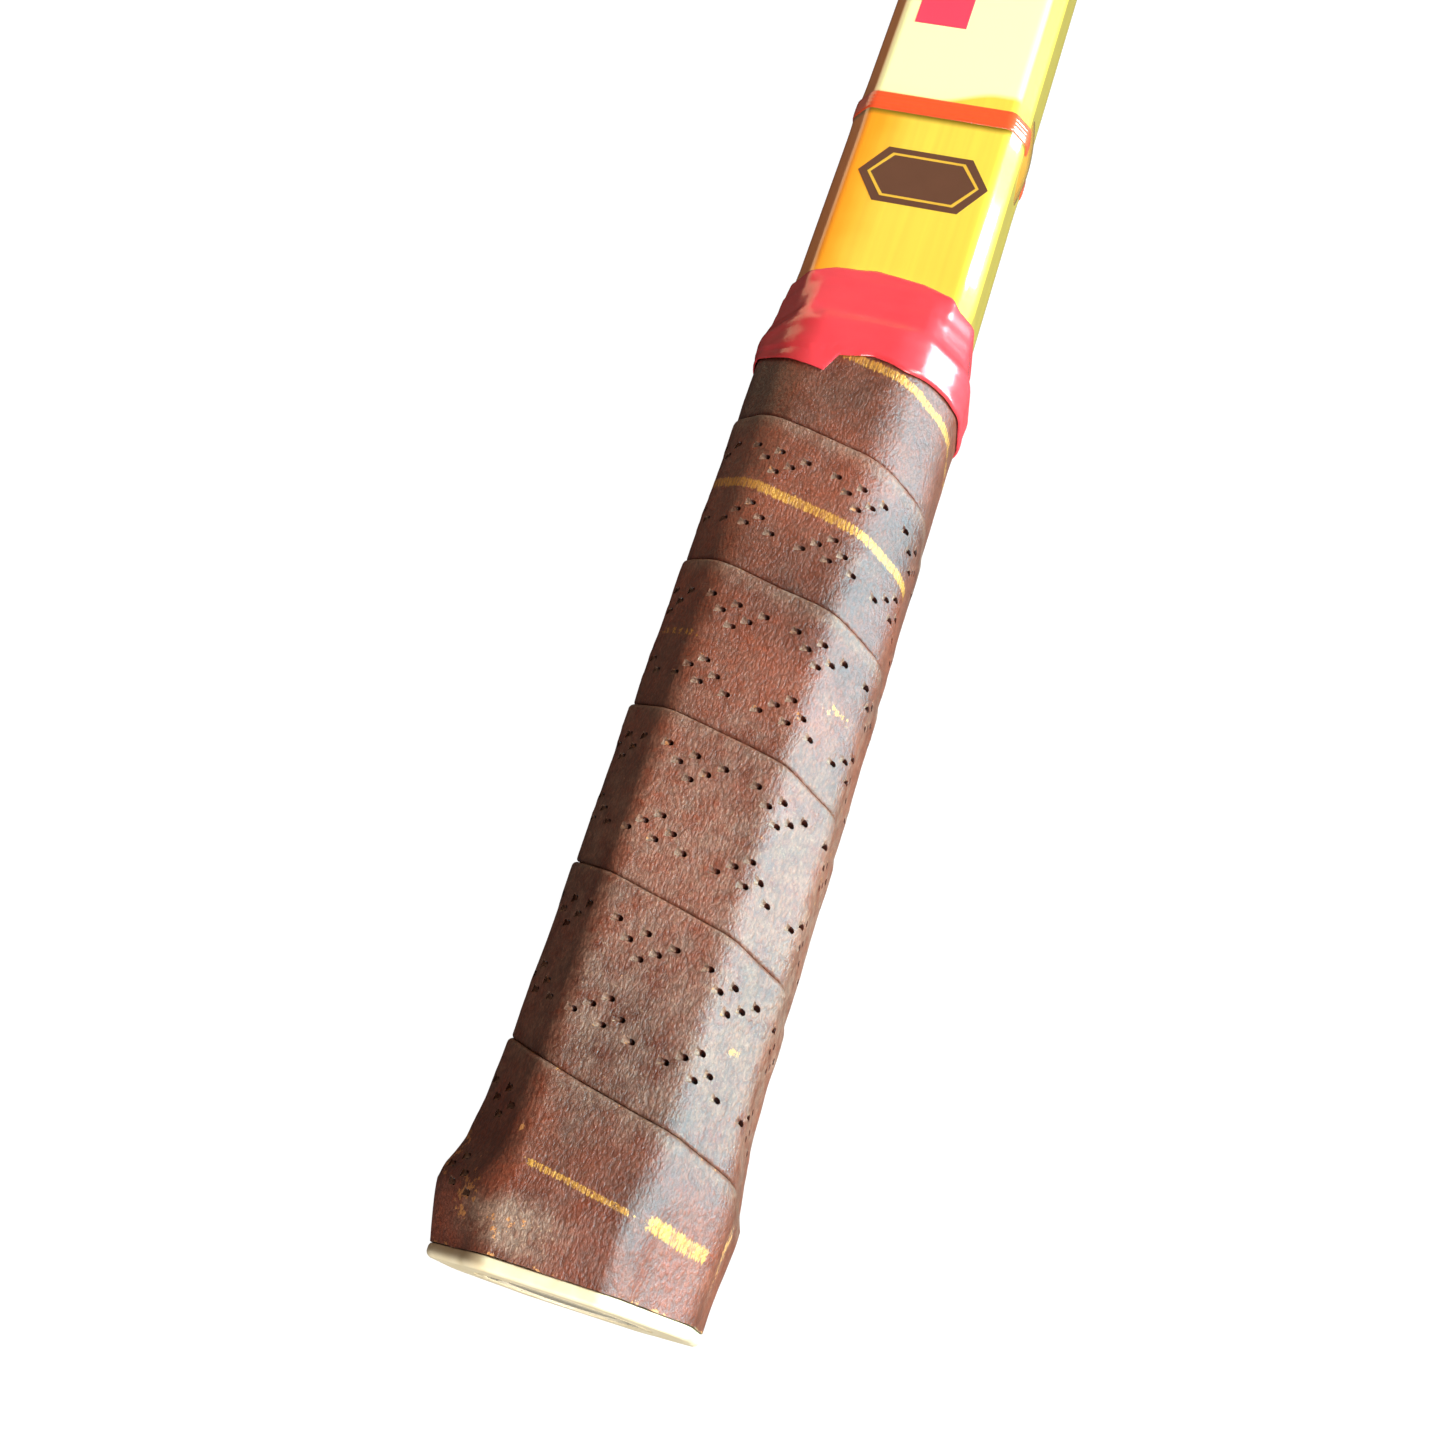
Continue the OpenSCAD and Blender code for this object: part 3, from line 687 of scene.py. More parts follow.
def leather_material(settings):
    """Waxed calf, glazed by hands: a fine pebbled grain, darker where it is soiled, paler
    and duller where it is rubbed, with a stamped gilt line down the middle of the strip."""
    material, tree, shader = new_material("Calf leather, waxed, perforated and gilt-stamped")
    here = {"Vector": node(tree, "ShaderNodeTexCoord").outputs["Object"]}
    strip = node(tree, "ShaderNodeUVMap", uv_map="strip")
    gilding = node(tree, "ShaderNodeUVMap", uv_map="gilding")
    wear = node(tree, "ShaderNodeUVMap", uv_map="wear")
    gild = node(tree, "ShaderNodeSeparateXYZ", links={"Vector": gilding.outputs["UV"]})
    worn_and_lit = node(tree, "ShaderNodeSeparateXYZ", links={"Vector": wear.outputs["UV"]})

    # Grain: cells about 0.5 mm wide, drawn out along the handle, with finer creases between
    cells_space = node(tree, "ShaderNodeMapping",
                       {"Scale": (1 / (0.5 * MM), 1 / (0.85 * MM), 1 / (0.5 * MM))}, here)
    cells = node(tree, "ShaderNodeTexVoronoi", {"Scale": 1.0, "Smoothness": 0.6, "Randomness": 1.0},
                 {"Vector": cells_space.outputs[0]}, feature="SMOOTH_F1")
    creases = node(tree, "ShaderNodeTexNoise", {"Scale": 2.2, "Detail": 3.0, "Roughness": 0.6},
                   {"Vector": cells_space.outputs[0]})
    grain = node(tree, "ShaderNodeMath", {1: -0.7}, {0: cells.outputs["Distance"],
                                                     2: creases.outputs["Fac"]}, operation="MULTIPLY_ADD")
    # Soiling and rubbing in patches of a few centimetres
    patches = node(tree, "ShaderNodeTexNoise", {"Scale": 1 / (22 * MM), "Detail": 4.0, "Roughness": 0.6}, here)
    soiled = node(tree, "ShaderNodeMapRange", {"From Min": 0.38, "From Max": 0.66},
                  {"Value": patches.outputs["Fac"]})
    hide = node(tree, "ShaderNodeMix", {6: (*settings.leather, 1), 7: (*settings.leather_dark, 1)},
                {0: soiled.outputs[0]}, data_type="RGBA")
    # Rubbing follows the wear map and breaks up on the grain's high spots; in the perforations' dents the same pale
    # mix is a painted highlight
    dust = node(tree, "ShaderNodeTexNoise", {"Scale": 1 / (3.2 * MM), "Detail": 5.0, "Roughness": 0.7}, here)
    dust_cut = node(tree, "ShaderNodeMapRange", {"From Min": 0.30, "From Max": 0.72},
                    {"Value": dust.outputs["Fac"]})
    rubbed = node(tree, "ShaderNodeMath", links={0: dust_cut.outputs[0], 1: worn_and_lit.outputs["X"]},
                  operation="MULTIPLY")
    hide_rubbed_and_lit = node(tree, "ShaderNodeMix", {7: (*settings.leather_worn, 1)},
                       {0: rubbed.outputs[0], 6: hide.outputs[2]}, data_type="RGBA")
    # Painted shade in the grain: its creases are darkened and its raised cells lightened, following the bump's
    # height
    grain_shade_tone = node(tree, "ShaderNodeMapRange", {"From Max": 0.5, "To Min": 0.66, "To Max": 1.2},
                      {"Value": grain.outputs[0]})
    hide_grain_shaded = node(tree, "ShaderNodeMix", {0: 1.0}, {6: hide_rubbed_and_lit.outputs[2], 7: grain_shade_tone.outputs[0]},
                      data_type="RGBA", blend_type="MULTIPLY")
    # Pale dust lodged in the grain where the leather is rubbed
    specks = node(tree, "ShaderNodeTexNoise", {"Scale": 1 / (0.42 * MM), "Detail": 2.0, "Roughness": 0.6}, here)
    speck_cut = node(tree, "ShaderNodeMapRange", {"From Min": 0.59, "From Max": 0.72, "To Max": 0.5},
                     {"Value": specks.outputs["Fac"]})
    dusty = node(tree, "ShaderNodeMath", links={0: speck_cut.outputs[0], 1: worn_and_lit.outputs["X"]},
                 operation="MULTIPLY")
    dusted = node(tree, "ShaderNodeMix",
                  {7: (*srgb("#C7A184"), 1)}, {0: dusty.outputs[0], 6: hide_grain_shaded.outputs[2]},
                  data_type="RGBA")
    # Raw tan flesh in flecks where the grain side has gone, and all over the strip's back
    chips = node(tree, "ShaderNodeTexNoise", {"Scale": 1 / (1.1 * MM), "Detail": 3.0, "Roughness": 0.7}, here)
    chipped = node(tree, "ShaderNodeMath", links={0: chips.outputs["Fac"], 1: worn_and_lit.outputs["Y"]},
                   operation="LESS_THAN")
    raw = node(tree, "ShaderNodeMix", {7: (*srgb("#D9955A"), 1)},
               {0: chipped.outputs[0], 6: dusted.outputs[2]}, data_type="RGBA")
    # Gilt line: fine slanting hatches 0.36 mm apart, 2 mm wide, with a broken edge
    hatch_space = node(tree, "ShaderNodeMapping", {"Scale": (1 / (0.36 * MM), 1 / (3.0 * MM), 1)},
                       {"Vector": strip.outputs["UV"]})
    hatch = node(tree, "ShaderNodeTexNoise", {"Scale": 1.0, "Detail": 2.0, "Roughness": 0.8},
                 {"Vector": hatch_space.outputs[0]})
    off = node(tree, "ShaderNodeMath", links={0: gild.outputs["Y"]}, operation="ABSOLUTE")
    ragged = node(tree, "ShaderNodeMath", {1: 1.6 * MM}, {0: hatch.outputs["Fac"], 2: off.outputs[0]},
                  operation="MULTIPLY_ADD")
    line = node(tree, "ShaderNodeMapRange", {"From Min": 1.7 * MM, "From Max": 1.45 * MM},
                {"Value": ragged.outputs[0]})
    hatch_cut = node(tree, "ShaderNodeMapRange", {"From Min": 0.62, "From Max": 0.42},
                     {"Value": hatch.outputs["Fac"]})
    flakes = node(tree, "ShaderNodeTexNoise", {"Scale": 1 / (0.9 * MM), "Detail": 4.0, "Roughness": 0.75}, here)
    kept = node(tree, "ShaderNodeMath", links={0: flakes.outputs["Fac"], 1: gild.outputs["X"]},
                operation="LESS_THAN")
    gold_a = node(tree, "ShaderNodeMath", links={0: line.outputs[0], 1: kept.outputs[0]}, operation="MULTIPLY")
    hatch_soft = node(tree, "ShaderNodeMath", {1: 0.75, 2: 0.2}, {0: hatch_cut.outputs[0]},
                      operation="MULTIPLY_ADD")
    gold = node(tree, "ShaderNodeMath", links={0: gold_a.outputs[0], 1: hatch_soft.outputs[0]},
                operation="MULTIPLY")
    final = node(tree, "ShaderNodeMix", {7: (*settings.gilt, 1)}, {0: gold.outputs[0], 6: raw.outputs[2]},
                 data_type="RGBA")
    # The cut walls of the perforations carry no gilding value: their colour is darkened there as painted shade
    # inside the holes
    cut = node(tree, "ShaderNodeMapRange", {"From Min": 0.04, "From Max": 0.16, "To Min": 0.42},
               {"Value": gild.outputs["X"]})
    hole_shaded = node(tree, "ShaderNodeMix", {0: 1.0}, {6: final.outputs[2], 7: cut.outputs[0]},
                  data_type="RGBA", blend_type="MULTIPLY")
    set_shader(shader, Base_Color=hole_shaded.outputs[2])
    metal = node(tree, "ShaderNodeMath", {1: 0.35}, {0: gold.outputs[0]}, operation="MULTIPLY")
    set_shader(shader, Metallic=metal.outputs[0])
    sheen_break = node(tree, "ShaderNodeMapRange",
                       {"From Min": 0.3, "From Max": 0.7, "To Min": 0.30, "To Max": 0.42},
                       {"Value": dust.outputs["Fac"]})
    rough = node(tree, "ShaderNodeMath", {1: 0.14}, {0: rubbed.outputs[0], 2: sheen_break.outputs[0]},
                 operation="MULTIPLY_ADD")
    set_shader(shader, Roughness=rough.outputs[0])
    bump = node(tree, "ShaderNodeBump", {"Strength": 1.0, "Distance": 0.155 * MM}, {"Height": grain.outputs[0]})
    # The bluish specular tint is painted colour on the leather's sheen, standing in for the reflection of a cool
    # light
    set_shader(shader, Normal=bump.outputs[0],
               Specular_IOR_Level=0.8, Specular_Tint=(0.42, 0.86, 1.0), Coat_Weight=0.10, Coat_Roughness=0.3)
    return material


# ---- The bow ---------------------------------------------------------------

def edge_height(d, blend, edge_round):
    """Half depth of the frame at depth d in from the outer face. On the shaft (blend 0)
    the bevel of the handle is cut off it, and on the head (blend 1) its edge is rounded."""
    soft = 0.5
    bevel = SHAFT_SEC[3] + d / BEVEL_SLOPE
    shaft = FACE_Z - soft * math.log1p(math.exp(-(bevel - FACE_Z) / soft))
    reach = min(d, edge_round)
    head = FACE_Z - edge_round + math.sqrt(max(edge_round ** 2 - (edge_round - reach) ** 2, 0))
    return (1 - blend) * min(shaft, FACE_Z) + blend * head


def bow_stations():
    """(x, y, inward x, inward y, distance, share of the head's section, share of groove)."""
    rows = []
    legs = [BUTT_PLATE, 30, 60, 90, 120, 150, 165, 180, 200, 220, 240, 260, 280, 295]
    for y in legs:
        rows.append((SHAFT_X, y, -1.0, 0.0))
    count = int(S_TOTAL / 2.6)
    for k in range(count + 1):
        rows.append(station(S_TOTAL * k / count))
    for y in reversed(legs):
        rows.append((-SHAFT_X, y, 1.0, 0.0))
    groove_from = throat_exit(MAIN_PITCH / 2) - 6
    distances = np.cumsum([0] + [math.hypot(b[0] - a[0], b[1] - a[1]) for a, b in zip(rows, rows[1:])])
    leg_run = THROAT_Y - BUTT_PLATE
    made = []
    for row, run in zip(rows, distances):
        s = run - leg_run
        inner = min(s, S_TOTAL - s)
        blend = float(smoothstep(THROAT_Y - 6, THROAT_Y + 42, row[1]))
        groove = float(smoothstep(groove_from - 5, groove_from + 5, inner))
        made.append((*row, run, blend, groove))
    return made


def bow_profile(d0, d1, blend, groove, edge_round, grooved):
    """Closed loop of (depth, z) points round one ply."""
    depths = [d0 + (d1 - d0) * (k / 6) ** 1.6 for k in range(7)] if grooved else [d0, (d0 + d1) / 2, d1]
    top = [(d, edge_height(d, blend, edge_round)) for d in depths]
    loop = [(d, -z) for d, z in reversed(top)]
    if grooved:
        cut = GROOVE_DEPTH * groove
        loop += [(d0, -GROOVE_HALF), (d0 + cut, -GROOVE_HALF + 0.35), (d0 + cut, 0),
                 (d0 + cut, GROOVE_HALF - 0.35), (d0, GROOVE_HALF)]
    return loop + top


def swept_piece(name, material, stations, profile_at, closed=False):
    """Sweeps a profile of (depth, z) points along the stations, with a run UV map."""
    verts, v_run = [], []
    for row in stations:
        loop = profile_at(row)
        for d, z in loop:
            verts.append((row[0] + d * row[2], row[1] + d * row[3], z))
        loop = np.array(loop)
        steps = np.linalg.norm(np.diff(np.vstack([loop, loop[:1]]), axis=0), axis=1)
        v_run.append(np.concatenate([[0], np.cumsum(steps)]))
    rows, columns = len(stations), len(profile_at(stations[0]))
    faces = grid_faces(rows, columns, wrap_columns=True, wrap_rows=closed)
    run = [row[4] for row in stations]
    if closed:
        run.append(run[-1] + run[1] - run[0])
        v_run.append(v_run[0])
    uvs = []
    for f in range(len(faces)):
        r, c = divmod(f, columns)
        uvs += [(run[r] * MM, v_run[r][c] * MM), (run[r] * MM, v_run[r][c + 1] * MM),
                (run[r + 1] * MM, v_run[r + 1][c + 1] * MM), (run[r + 1] * MM, v_run[r + 1][c] * MM)]
    if not closed:
        last = (rows - 1) * columns
        faces += [tuple(range(columns - 1, -1, -1)), tuple(range(last, last + columns))]
        uvs += [(0, v * MM) for v in v_run[0][:-1][::-1]] + [(run[-1] * MM, v * MM) for v in v_run[-1][:-1]]
    obj = mesh_object(name, verts, faces, material, {"run": uvs})
    return outward(obj)


def outward(obj):
    """Turns every face of a closed mesh outwards."""
    bm = bmesh.new()
    bm.from_mesh(obj.data)
    bmesh.ops.recalc_face_normals(bm, faces=bm.faces)
    bm.to_mesh(obj.data)
    bm.free()
    return obj


def hole_points(name, mouths, d):
    """Points for the string holes: just outside the outer face, facing out."""
    points, ways, alongs = [], [], []
    for inner, s in mouths:
        q = outline(s, 0)
        way = (q - inner) / np.linalg.norm(q - inner)
        points.append((*(q + way * d), 0))
        ways.append((*way, 0))
        alongs.append((0, 0, 1))
    return point_cloud(name, points, way=ways, along=alongs)


class RACKET_OT_bow(bpy.types.Operator):
    """Bent plies of the bow, the hoop's liner and the throat wedge, with their string holes"""
    bl_idname = "racket.bow"
    bl_label = "Bow and throat"

    def execute(self, context):
        settings = context.scene.racket_frame
        ash = wood_material("Ash, bent and gloss lacquered", settings.ash, settings.ash_grain, 0.9, 60)
        ash_inner = wood_material("White ash ply, gloss lacquered", srgb("#EBC680"), srgb("#C08B45"), 0.8, 50)
        beech = wood_material("Beech ply, gloss lacquered", settings.beech, srgb("#A46B33"), 0.6, 9)
        fibre = wood_material("Vulcanised fibre, dyed and lacquered", settings.fibre, srgb("#5A0F10"), 1.5, 20)
        wedge_wood = wood_material("Mahogany, quarter sawn and lacquered", settings.mahogany,
                                   srgb("#45190F"), 0.7, 16)
        woods = [ash, fibre, ash_inner, beech, fibre, ash_inner]
        slots = ["ash_outer", "fibre_ply", "ash_inner", "beech", "fibre_ply", "ash_inner"]
        bores = hole_points("string_bores", all_mouths(), 4)
        boring = bore_tree()
        radius = settings.bore / 2
        inputs = {"Points": bores, "Mouth Radius": radius, "End Radius": radius, "Depth": 70 * MM, "Sides": 16}
        stations = bow_stations()
        edge_round = settings.edge_round / MM
        depth = 0.0
        for i, thickness in enumerate(PLY_T):
            d0, d1, grooved = depth, depth + thickness, i == 0
            ply = swept_piece(f"ply_{i + 1}", woods[i], stations,
                              lambda row: bow_profile(d0, d1, row[5], row[6], edge_round, grooved))
            applied(ply, boring, {**inputs, "Material": woods[i]})
            crease(ply)
            finished(ply, slots[i], f"bow_ply_{i + 1}")
            depth = d1
        liner = self.liner(ash_inner)
        applied(liner, boring, {**inputs, "Material": ash_inner})
        crease(liner)
        finished(liner, "ash_inner", "hoop_liner")
        wedge = self.wedge(wedge_wood)
        applied(wedge, boring, {**inputs, "Material": wedge_wood})
        crease(wedge)
        finished(wedge, "dark_wedge", "throat_wedge")
        bpy.data.objects.remove(bores)
        core = wood_material("Core strip, lacquered", srgb("#E2B35E"), srgb("#B47F3A"), 1.0, 40, uv=False)
        pallet = wood_material("Beech pallet, planed", srgb("#C99A5B"), srgb("#A06C38"), 0.8, 30, uv=False)
        for name, wood in (("shaft_core", core), ("pallet_front", pallet), ("pallet_back", pallet)):
            dress(name, wood)
        return {"FINISHED"}

    def liner(self, wood):
        """The thin ply that lines the oval, its inner edges rounded by sanding"""
        count = 320
        rows = []
        for k in range(count):
            # The oval's four arcs, by the direction of the outward normal
            a = 2 * math.pi * k / count
            quarter = math.atan2(abs(math.sin(a)), abs(math.cos(a)))
            px, py = oval_point(quarter, BOW_T)
            x, y = math.copysign(px, math.cos(a)), math.copysign(py, math.sin(a))
            rows.append((x, MID_Y + y, -math.cos(a), -math.sin(a)))
        distances = np.cumsum([0] + [math.hypot(b[0] - a[0], b[1] - a[1]) for a, b in zip(rows, rows[1:])])
        rows = [(*row, run) for row, run in zip(rows, distances)]
        soft = 1.1
        bend = [(LINER_T - soft + soft * math.sin(t), FACE_Z - soft + soft * math.cos(t))
                for t in np.linspace(0, math.pi / 2, 5)]
        loop = [(0, -FACE_Z)] + [(0, FACE_Z)] + bend + [(d, -z) for d, z in reversed(bend)]
        return swept_piece("liner", wood, rows, lambda row: loop, closed=True)

    def wedge(self, wood):
        """The throat's wedge: its top follows the oval and its sides follow the bow"""
        across, up = 28, 30
        half = math.pi / 2 - THROAT_A
        arc_r = CROWN_R - BOW_T
        verts, uvs = [], []
        for z in (FACE_Z, -FACE_Z):
            for r in range(up + 1):
                t = r / up
                edge = outline(LEN_THROAT * t, BOW_T)
                for c in range(across + 1):
                    phi = half * (2 * c / across - 1)
                    x = edge[0] * math.sin(phi) / math.sin(half)
                    sag = arc_r * (math.cos(half) - math.cos(phi))
                    verts.append((x, edge[1] + sag * t * t, z))
        size = (up + 1) * (across + 1)
        front = grid_faces(up + 1, across + 1)
        faces = front + [tuple(size + v for v in reversed(f)) for f in front]
        rim = list(range(across + 1)) + [r * (across + 1) + across for r in range(1, up + 1)]
        rim += [up * (across + 1) + c for c in range(across - 1, -1, -1)]
        rim += [r * (across + 1) for r in range(up - 1, 0, -1)]
        faces += [(rim[k], rim[k - 1], size + rim[k - 1], size + rim[k]) for k in range(len(rim))]
        points = np.array(verts)
        for f in faces:
            for v in f:
                uvs.append(((points[v][1] + points[v][2] * 0.3) * MM, (points[v][0] + points[v][2]) * MM))
        return outward(mesh_object("wedge", verts, faces, wood, {"run": uvs}))


# ---- The grip --------------------------------------------------------------
# The strip is one long helix. T counts its turns: T = k at the middle of the front, on the
# strip above seam k, and falls by one for each turn to the right.

CORNER_R, CORNER_R_TOP = 4.6, 9.0
GRIP = Octagon(GRIP_SEC, CORNER_R, CORNER_R_TOP)
SEAM_T = [-2, -1, 0, 0.3, 0.6, 0.75, 1, 2, 3, 4, 5, 6, 7, 8]
SEAM_Y = [-62, -35, -8, 1.0, 13.0, 18.6, 25.3, 52.6, 78.9, 104.4, 132.1, 159, 186, 213]
GILT_T = [-2, -1, -0.3, -0.15, -0.06, 0.06, 0.25, 1, 2, 3, 4, 5, 6, 7]
GILT_Y = [-40, -14.5, 9.2, 10.5, 12.0, 14.3, 18.8, 40.0, 66.7, 91.5, 118.8, 147.8, 174.5, 201]
# What is left of the gilt: (T from, T to, share kept, narrowing)
GILT_LEFT = [(3.79, 4.22, 0.68, 1.0), (4.22, 4.8, 0.50, 1.0), (4.8, 5.3, 0.70, 1.0), (2.84, 2.875, 0.50, 1.6),
             (3.08, 3.17, 0.48, 1.6), (0.852, 0.872, 0.50, 1.6), (-0.075, 0.062, 0.58, 2.0),
             (-0.175, -0.088, 0.74, 0.85)]
# Scuffs near the butt: (s, y, width, height, rubbing, raw edge)
SCUFFS = [(-6.0, 6.0, 7.0, 3.0, 2.4, 0.45), (-13.0, 9.0, 5.0, 7.0, 0.5, 0.50), (-9.0, 18.0, 0.6, 2.6, 0.8, 0.60),
          (25.0, 12.0, 2.5, 8.0, 0.7, 0.55), (-20.0, 14.0, 3.0, 9.0, 0.4, 0.50), (12.0, 112.0, 4.0, 2.0, 0.6, 0.36),
          (14.0, 88.0, 4.0, 2.5, 0.7, 0.42), (25.0, 70.0, 3.0, 30.0, 0.8, 0.38)]
PERFORATED_T = (0.10, 4.55)
APEX_UP = [(0, 3.5), (-2.25, 5.3), (2.25, 5.3), (-4.5, 7.2), (0, 7.2), (4.5, 7.2)]
APEX_DOWN = [(-2, -3.2), (-4.25, -5.0), (0.25, -5.0), (-6.5, -6.9), (-2, -6.9), (2.5, -6.9)]
FIRST_APEX = -1.7


def seam_y(t):
    wander = 0.22 * smooth_noise(np.asarray(t) * 9.0, 3)
    return np.interp(t, SEAM_T, SEAM_Y) + wander


def gilt_y(t):
    return np.interp(t, GILT_T, GILT_Y) + 0.12 * smooth_noise(np.asarray(t) * 14.0, 5)


def rounded_off(x, radius):
    """How much of a rounded edge is lost, from 1 at the edge to 0 at the radius from it."""
    return 1 - np.sqrt(np.clip(1 - (1 - np.clip(x / radius, 0, 1)) ** 2, 0, 1))


def strip_stand(w, room, rim_stand):
    """Height of the strip's face at w from its lower edge, on a strip room wide."""
    up = room - w
    low = -0.12 * (1 - smoothstep(0, 5, w)) - 0.42 * rounded_off(w, 0.55)
    high = rim_stand * smoothstep(9, 1.5, up) - 0.75 * rounded_off(up, 0.8)
    return low + high


def perforations(girth, pitch):
    """(T, y) of each perforation, in a fixed order."""
    found = []
    for n in range(-60, 60):
        for group in (APEX_UP, APEX_DOWN):
            for across, w in group:
                run = FIRST_APEX - pitch * n + across
                t = 1 - run / girth
                if PERFORATED_T[0] < t < PERFORATED_T[1]:
                    found.append((t, float(gilt_y(t)) + w))
    return found


class RACKET_OT_grip(bpy.types.Operator):
    """Leather strip wound round the handle, perforated, with its gilt line"""
    bl_idname = "racket.grip"
    bl_label = "Leather grip"

    GAP = 0.05
    COLUMN = 0.52
    INNER_ROWS = 5
    T_RANGE = (-0.85, 5.82)
    # Rows close to the strip's lower and upper edge, by their distance from it
    LOW_EDGE = (0, 0.08, 0.2, 0.36, 0.6, 1.0)
    HIGH_EDGE = (-1.1, -0.75, -0.5, -0.3, -0.16, -0.06, 0)
    # How the punch marked the leather: lean to the left, drag round the handle, how far above
    # the leather the cutter starts, its radius there and at its end, and its depth
    DENT = (0.80, -0.46, 0.42, 0.75, 0.08, 1.0)
    HOLE = (0.35, 0.14, 0.85, 0.62, 0.18, 2.0)
    # Gilding map and wear map inside a dent: no gilt left, well rubbed and chipped; the pale colour this gives is
    # also a painted highlight on each perforation's left wall
    DENT_GILDING, DENT_WEAR = (0.30, 5 * MM), (2.2, 0.36)

    def execute(self, context):
        settings = context.scene.racket_grip
        girth = GRIP.girth
        rim_stand = settings.rim_stand / MM
        holes = perforations(girth, settings.cluster_pitch / MM)
        columns = int((self.T_RANGE[1] - self.T_RANGE[0]) * girth / self.COLUMN) + 1
        t = np.linspace(*self.T_RANGE, columns)
        s = -t * girth
        share = self.rows_across()
        rows = len(share)
        low, high = seam_y(t) + self.GAP / 2, seam_y(t + 1) - self.GAP / 2
        room = high - low
        w = np.where(share[None, :] <= 0.5, 0, room[:, None]) + self.edge_offsets(share)[None, :]
        between = (share > 0) & (share < 1)
        w = np.where(between[None, :], share[None, :] * room[:, None], w)
        y = low[:, None] + w
        stand = strip_stand(w, room[:, None], rim_stand)
        tt = np.broadcast_to(t[:, None], y.shape)
        stand = stand + 0.09 * smooth_noise(tt * 23.0 + y * 0.11, 11)
        stand = stand + 0.06 * smooth_noise(y * 0.45 + tt * 60.0, 12)
        stand += self.lips(tt, y, holes, girth)
        outer = GRIP.points(np.broadcast_to(s[:, None], y.shape), y, stand, flare=True)
        inner_share = np.linspace(1, 0, self.INNER_ROWS)
        yi = low[:, None] + inner_share[None, :] * room[:, None]
        inner = GRIP.points(np.broadcast_to(s[:, None], yi.shape), yi, 0.06 - LEATHER_T, flare=True)
        verts = np.concatenate([outer, inner], 1)
        total = rows + self.INNER_ROWS
        faces = grid_faces(columns, total, wrap_columns=True)
        faces += [tuple(range(total - 1, -1, -1)), tuple((columns - 1) * total + k for k in range(total))]
        all_y = np.concatenate([y, yi], 1)
        all_w = np.concatenate([w, inner_share[None, :] * room[:, None]], 1)
        t_all = np.broadcast_to(t[:, None], all_y.shape)
        maps = self.maps(t_all, all_y, all_w, room, girth, rows)
        corner = np.array([v for f in faces for v in f])
        uvs = {key: value.reshape(-1, 2)[corner] for key, value in maps.items()}
        leather = leather_material(settings)
        grip = outward(mesh_object("grip", verts.reshape(-1, 3), faces, leather, uvs))
        trimmer = self.trimmer()
        boring = bore_tree()
        # A shallow dent that the punch dragged to the left, then the hole itself
        for (lean, drag, above, mouth, end, depth), cutter in ((self.DENT, trimmer), (self.HOLE, None)):
            spots = self.hole_cloud(holes, girth, lean, drag, above)
            inputs = {"Points": spots, "Mouth Radius": mouth * MM, "End Radius": end * MM, "Depth": depth * MM,
                      "Stretch": 1.3, "Sides": 14, "Material": leather}
            applied(grip, boring, {**inputs, "Extra Cutter": cutter} if cutter else inputs)
            if cutter:
                self.regild(grip)
            bpy.data.objects.remove(spots)
        bpy.data.objects.remove(trimmer)
        crease(grip, 30)
        finished(grip, "brown_leather", "grip_leather")
        return {"FINISHED"}

    def regild(self, grip):
        """Makes the dents' new faces pale rubbed leather, a painted highlight beside each perforation, so that only
        the holes are dark
        """
        gilding, wear = (grip.data.uv_layers[key].data for key in ("gilding", "wear"))
        values = np.zeros((len(gilding), 2), np.float32)
        gilding.foreach_get("uv", values.ravel())
        dented = values[:, 0] < 0.05
        values[dented] = self.DENT_GILDING
        gilding.foreach_set("uv", values.ravel())
        wear.foreach_get("uv", values.ravel())
        values[dented] = self.DENT_WEAR
        wear.foreach_set("uv", values.ravel())

    def rows_across(self):
        """Shares across the strip: edge rows are marked by their offset, inner ones by share."""
        return np.concatenate([[0.0] * len(self.LOW_EDGE), np.linspace(0.055, 0.945, 38),
                               [1.0] * len(self.HIGH_EDGE)])

    def edge_offsets(self, share):
        offsets = np.zeros(len(share))
        offsets[:len(self.LOW_EDGE)] = self.LOW_EDGE
        offsets[-len(self.HIGH_EDGE):] = self.HIGH_EDGE
        return offsets

    def lips(self, tt, y, holes, girth):
        """Soft lips that the punch raised round the perforations"""
        lift = np.zeros(y.shape)
        columns, t0 = y.shape[0], tt[0, 0]
        step = tt[1, 0] - t0
        for t, hole_y in holes:
            c = int(round((t - t0) / step))
            a, b = max(0, c - 4), min(columns, c + 5)
            ds = (tt[a:b] - t) * girth
            dy = y[a:b] - hole_y
            r = np.sqrt(ds ** 2 + dy ** 2)
            lift[a:b] += 0.05 * np.exp(-((r - 1.3) / 0.5) ** 2)
        return lift

